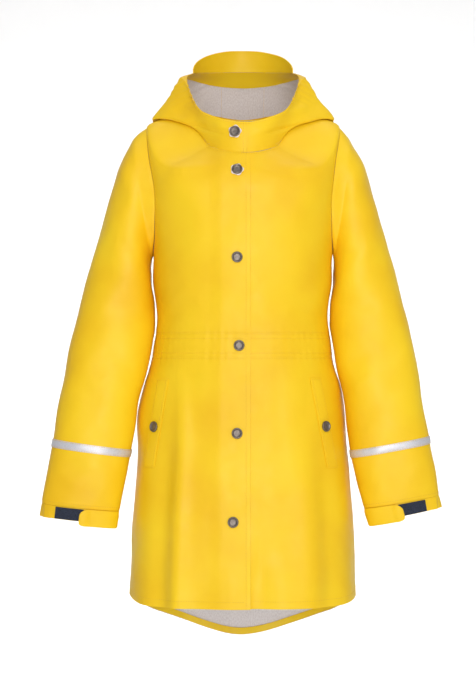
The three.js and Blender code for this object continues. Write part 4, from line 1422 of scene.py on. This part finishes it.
# Stitches, as rows of short threads along lines on the cloth
stitch = {
    "pitch": 0.0034,
    "length": 0.0026,
    "thickness": 0.00028,
    "shortest": 0.86,
    "longest": 1.06,
    "seed": 7,
}
seamLines = {
    "lift": 0.12,
    "casing": ((-298.6, -0.05), (-307.2, 0.12), (-327.4, 0.12), (-335.4, -0.05)),
    "neck": 13.86,
    "frontEdge": 6,
    "hem": 0.13,
    "armhole": (1.63, 2.4),  # how far it stands off, in stations and degrees
    "welt": 2.2,
    "sleeveHem": 0.17,
    "tapeEdge": 0.028,
    "hoodEdge": 0.16,
    "hoodBand": 0.08,
    "hoodStart": 8.5,
    "hoodTurn": 228,
    "hoodEnd": 4.0,
    "hoodFront": 0.5,
    "hoodSeam": 4.5,
    "hoodSeamFrom": 2.4,
    "brim": (0.88, 0.1),
}


def makeStitchNodes():
    tree = bpy.data.node_groups.new("stitchRow", "GeometryNodeTree")
    tree.interface.new_socket("Geometry", in_out="INPUT", socket_type="NodeSocketGeometry")
    ids = {}
    kinds = {"Pitch": "Float", "Length": "Float", "Thickness": "Float", "Seed": "Int"}
    for name, kind in (*kinds.items(), ("Thread", "Material")):
        socket = tree.interface.new_socket(name, in_out="INPUT", socket_type=f"NodeSocket{kind}")
        ids[name] = socket.identifier
    tree.interface.new_socket("Geometry", in_out="OUTPUT", socket_type="NodeSocketGeometry")
    given = addNode(tree, "NodeGroupInput")
    result = addNode(tree, "NodeGroupOutput")
    curve = addNode(tree, "GeometryNodeMeshToCurve")
    points = addNode(tree, "GeometryNodeCurveToPoints", mode="LENGTH")
    bead = addNode(tree, "GeometryNodeMeshUVSphere", set_Segments=6, set_Rings=4, set_Radius=0.5)
    turn = addNode(tree, "FunctionNodeAlignRotationToVector", axis="Z")
    uneven = addNode(tree, "FunctionNodeRandomValue", data_type="FLOAT")
    uneven.inputs[2].default_value = stitch["shortest"]
    uneven.inputs[3].default_value = stitch["longest"]
    longer = addNode(tree, "ShaderNodeMath", operation="MULTIPLY")
    double = addNode(tree, "ShaderNodeMath", operation="MULTIPLY")
    double.inputs[1].default_value = 2
    size = addNode(tree, "ShaderNodeCombineXYZ")
    place = addNode(tree, "GeometryNodeInstanceOnPoints")
    real = addNode(tree, "GeometryNodeRealizeInstances")
    thread = addNode(tree, "GeometryNodeSetMaterial")
    for link in (
        (given, "Geometry", curve, "Mesh"),
        (curve, "Curve", points, "Curve"),
        (given, "Pitch", points, "Length"),
        (points, "Points", place, "Points"),
        (points, "Tangent", turn, "Vector"),
        (turn, "Rotation", place, "Rotation"),
        (bead, "Mesh", place, "Instance"),
        (given, "Seed", uneven, "Seed"),
        (given, "Length", longer, 0),
        (uneven, 1, longer, 1),
        (given, "Thickness", double, 0),
        (double, "Value", size, "X"),
        (double, "Value", size, "Y"),
        (longer, "Value", size, "Z"),
        (size, "Vector", place, "Scale"),
        (place, "Instances", real, "Geometry"),
        (real, "Geometry", thread, "Geometry"),
        (given, "Thread", thread, "Material"),
        (thread, "Geometry", result, "Geometry"),
    ):
        join(tree, *link)
    return tree, ids


def stitchLine(surface, u, v, lift=seamLines["lift"]):
    u, v = np.broadcast_arrays(np.asarray(u, float), np.asarray(v, float))
    return surface(u, v) + surfaceNormal(surface, u, v) * lift


def sew(name, lines, nodes, ids):
    vertices = np.concatenate(lines) * mm
    edges, start = [], 0
    for line in lines:
        edges += [(i, i + 1) for i in range(start, start + len(line) - 1)]
        start += len(line)
    mesh = bpy.data.meshes.new(name)
    mesh.from_pydata(vertices.tolist(), edges, [])
    rows = bpy.data.objects.new(name, mesh)
    bpy.context.scene.collection.objects.link(rows)
    sewing = rows.modifiers.new("sewing", "NODES")
    sewing.node_group = nodes
    for key in ("pitch", "length", "thickness", "seed"):
        sewing[ids[key.capitalize()]] = stitch[key]
    sewing[ids["Thread"]] = yellowThread
    seen = rows.evaluated_get(bpy.context.evaluated_depsgraph_get())
    made = bpy.data.meshes.new_from_object(seen)
    rows.modifiers.clear()
    rows.data = made
    made.polygons.foreach_set("use_smooth", np.ones(len(made.polygons), bool))
    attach(rows, "root")
    print(f"{name}: {len(made.polygons)} faces")


def roundBody(stationOf, lift):  # one line all round, which stops at the closure's edge
    right, left, back = np.linspace(-178, -90, 110), np.linspace(-90, -2, 110), np.linspace(2, 178, 200)
    over = stitchLine(overFront, right, stationOf(right), lift)
    under = stitchLine(underFront, left, stationOf(left), lift)
    edge = closure["frontEdge"]
    over, under = over[over[:, 0] < edge - 1], under[under[:, 0] > edge + 1.5]
    return [over, under, stitchLine(bodyForm, back, stationOf(back), lift)]


def bodyStitches():
    lines = []
    for z, lift in seamLines["casing"]:
        lines += roundBody(lambda angle: stationAtHeight(angle, np.full_like(angle, z), bodyForm), lift)
    neck = seamLines["neck"]
    for surface, first, last in ((overFront, -50, 8), (underFront, 12, 50)):  # beside the neck seam
        x = np.linspace(first, last, 40)
        lines.append(stitchLine(surface, bodyAngleAtX(x, np.full_like(x, neck), -90), neck))
    station = np.linspace(ringAt["hem"] + 0.02, ringAt["neck"] - 0.05, 300)
    edge = closure["frontEdge"] - seamLines["frontEdge"]
    lines.append(stitchLine(overFront, bodyAngleAtX(edge, station, -90), station))
    lines += roundBody(lambda angle: seamLines["hem"], seamLines["lift"])
    round180 = np.linspace(0, 180, 90) * degree
    reach, beyond = seamLines["armhole"]
    for start, sign in ((0, 1), (180, -1)):  # round the armholes, front and back
        for half in (1, -1):
            station = armhole["middle"] + reach * np.cos(round180)
            angle = start - half * sign * (armhole["halfAngle"] + beyond) * np.sin(round180)
            keep = (station > ringAt["underarm"] + 0.15) & (station < ringAt["shoulder"] - 0.1)
            lines.append(stitchLine(bodyForm, angle[keep], station[keep]))
    inset = pocket["width"] / 2 - seamLines["welt"]
    onWelt = cloth["trim"] + 2 * cloth["layerGap"] + 0.06
    along = np.linspace(0.02, 0.98, 70)
    for name in ("right", "left"):
        top = np.linspace(-inset, inset, 12)
        for across, up in ((-inset, along), (top, 0.98), (inset, along[::-1])):
            angle, station = weltPlace(name, *np.broadcast_arrays(across, up))
            lines.append(stitchLine(bodyForm, angle, station, onWelt))
    return lines


def sleeveStitches(name):
    lines = []
    alpha = np.linspace(0, 360, 150)
    half = sleeve["tapeWidth"] / 2 / sleeve["tapeStation"] - seamLines["tapeEdge"]
    onTape = cloth["trim"] + cloth["layerGap"] + 0.08
    rows = (
        (sleeve["hemSeam"] - seamLines["sleeveHem"], 0.1),
        (sleeve["tape"] - half, onTape),
        (sleeve["tape"] + half, onTape),
    )
    for place, lift in rows:
        station = np.full_like(alpha, place)
        lines.append(sleeveForm(name, alpha, station) + sleeveNormal(name, alpha, station) * lift)
    return lines


def hoodStitches():
    lines = []
    edge = hoodCut["edge"]
    for station in (edge - seamLines["hoodEdge"], edge - hood["bandStations"] + seamLines["hoodBand"]):
        start = float(hoodAngleAtX(seamLines["hoodStart"], np.array(station), -90))
        end = float(360 + hoodAngleAtX(seamLines["hoodEnd"], np.array(station), -90))
        lines.append(stitchLine(hoodForm, np.linspace(start, 270, 200), station))
        lines.append(stitchLine(overHood, np.linspace(seamLines["hoodTurn"], end, 90), station))
    station = np.linspace(0.1, edge - 0.1, 60)  # down the closure's edge
    lines.append(stitchLine(overHood, hoodAngleAtX(seamLines["hoodFront"], station, -90), station))
    station = np.linspace(seamLines["hoodSeamFrom"], edge - 0.1, 130)
    for side in (-1, 1):
        x = side * (hoodCut["centreHalf"] + seamLines["hoodSeam"])
        lines.append(stitchLine(hoodForm, hoodAngleAtX(x, station, 90), station))
    u = np.linspace(0.03, 0.97, 120)
    for row in seamLines["brim"]:
        lines.append(stitchLine(brimForm, u, np.full_like(u, row), 0.1))
    return lines


def addStitches():
    nodes, ids = makeStitchNodes()
    sew("stitches_body", bodyStitches(), nodes, ids)
    sew("stitches_sleeves", sleeveStitches("right") + sleeveStitches("left"), nodes, ids)
    sew("stitches_hood", hoodStitches(), nodes, ids)


addStitches()
print("stitches made")

# Studio
studio = {
    "floor": -1.30,
    "wall": 3.3,
    "bend": 1.5,
    "front": -4.2,
    "halfWidth": 6.0,
    "top": 4.5,
    "camera": (-0.007, -2.8, -0.315),
    "lens": 103.2,
    "world": (0.93, 0.95, 1.0),
    "worldStrength": 0.38,
    "bendSteps": 24,
}
lamps = {  # place, what it points at, size, power, colour
    "keyLight": ((0.2, -3.1, 1.3), (0, 0, -0.3), (1.2, 1.2), 37, (1.0, 0.985, 0.96)),
    "fillLight": ((1.4, -2.9, 0.2), (0, 0, -0.3), (1.8, 1.8), 6, (0.97, 0.98, 1.0)),
    "frontLight": ((0.1, -3.5, -0.7), (0, 0, -0.3), (1.2, 1.2), 29, (1.0, 0.99, 0.98)),
    "topLight": ((0.1, 0.2, 2.2), (0, 0, -0.3), (2.2, 1.6), 18, (1.0, 0.99, 0.97)),
    "wallLight": ((0, 1.7, -1.0), (0, 3.3, 0.0), (3.0, 0.6), 42, (1.0, 1.0, 1.0)),
}


def makeStudioPaint():  # clear from behind, so that the back of the coat can be seen too
    material, tree, shader = newMaterial("studioPaint", (0.93, 0.925, 0.915), 0.85)
    place = addNode(tree, "ShaderNodeTexCoord")
    noise = addNoise(tree, place, "Object", 1.4, 2.0)
    tone = addRamp(tree, noise, "Fac", (0.3, (0.915, 0.91, 0.90)), (0.7, (0.945, 0.94, 0.93)))
    join(tree, tone, "Color", shader, "Base Color")
    face = addNode(tree, "ShaderNodeNewGeometry")
    clear = addNode(tree, "ShaderNodeBsdfTransparent")
    mix = addNode(tree, "ShaderNodeMixShader")
    join(tree, face, "Backfacing", mix, "Fac")
    join(tree, shader, "BSDF", mix, 1)
    join(tree, clear, "BSDF", mix, 2)
    join(tree, mix, "Shader", tree.nodes["Material Output"], "Surface")
    return material


def addSweep():
    ground, wall, bend = studio["floor"], studio["wall"], studio["bend"]
    profile = [(studio["front"], ground)]
    for turn in np.linspace(0, math.pi / 2, studio["bendSteps"] + 1):
        profile.append((wall - bend + bend * math.sin(turn), ground + bend * (1 - math.cos(turn))))
    profile.append((wall, studio["top"]))
    half = studio["halfWidth"]
    vertices = [(side * half, y, z) for y, z in profile for side in (-1, 1)]
    faces = [(2 * i, 2 * i + 1, 2 * i + 3, 2 * i + 2) for i in range(len(profile) - 1)]
    mesh = bpy.data.meshes.new("floor")
    mesh.from_pydata(vertices, [], faces)
    mesh.polygons.foreach_set("use_smooth", np.ones(len(faces), bool))
    mesh.materials.append(makeStudioPaint())
    floor = bpy.data.objects.new("floor", mesh)
    bpy.context.scene.collection.objects.link(floor)


def addLamp(name, place, target, size, power, colour):
    light = bpy.data.lights.new(name, "AREA")
    light.shape = "RECTANGLE"
    light.size, light.size_y = size
    light.energy = power
    light.color = colour
    lamp = bpy.data.objects.new(name, light)
    lamp.location = place
    lamp.visible_camera = False
    lamp.rotation_euler = (Vector(target) - Vector(place)).to_track_quat("-Z", "Y").to_euler()
    bpy.context.scene.collection.objects.link(lamp)


def addStudio():
    addSweep()
    for name, settings in lamps.items():
        addLamp(name, *settings)
    world = bpy.data.worlds.new("studioAir")
    world.use_nodes = True
    background = world.node_tree.nodes["Background"]
    background.inputs["Color"].default_value = (*studio["world"], 1)
    background.inputs["Strength"].default_value = studio["worldStrength"]
    bpy.context.scene.world = world
    bpy.context.scene.view_settings.view_transform = "Standard"  # keeps the coat's strong yellow
    view = bpy.data.cameras.new("camera")
    view.lens = studio["lens"]
    camera = bpy.data.objects.new("camera", view)
    camera.location = studio["camera"]
    camera.rotation_euler = (90 * degree, 0, 0)
    bpy.context.scene.collection.objects.link(camera)
    bpy.context.scene.camera = camera


addStudio()
print("studio made")
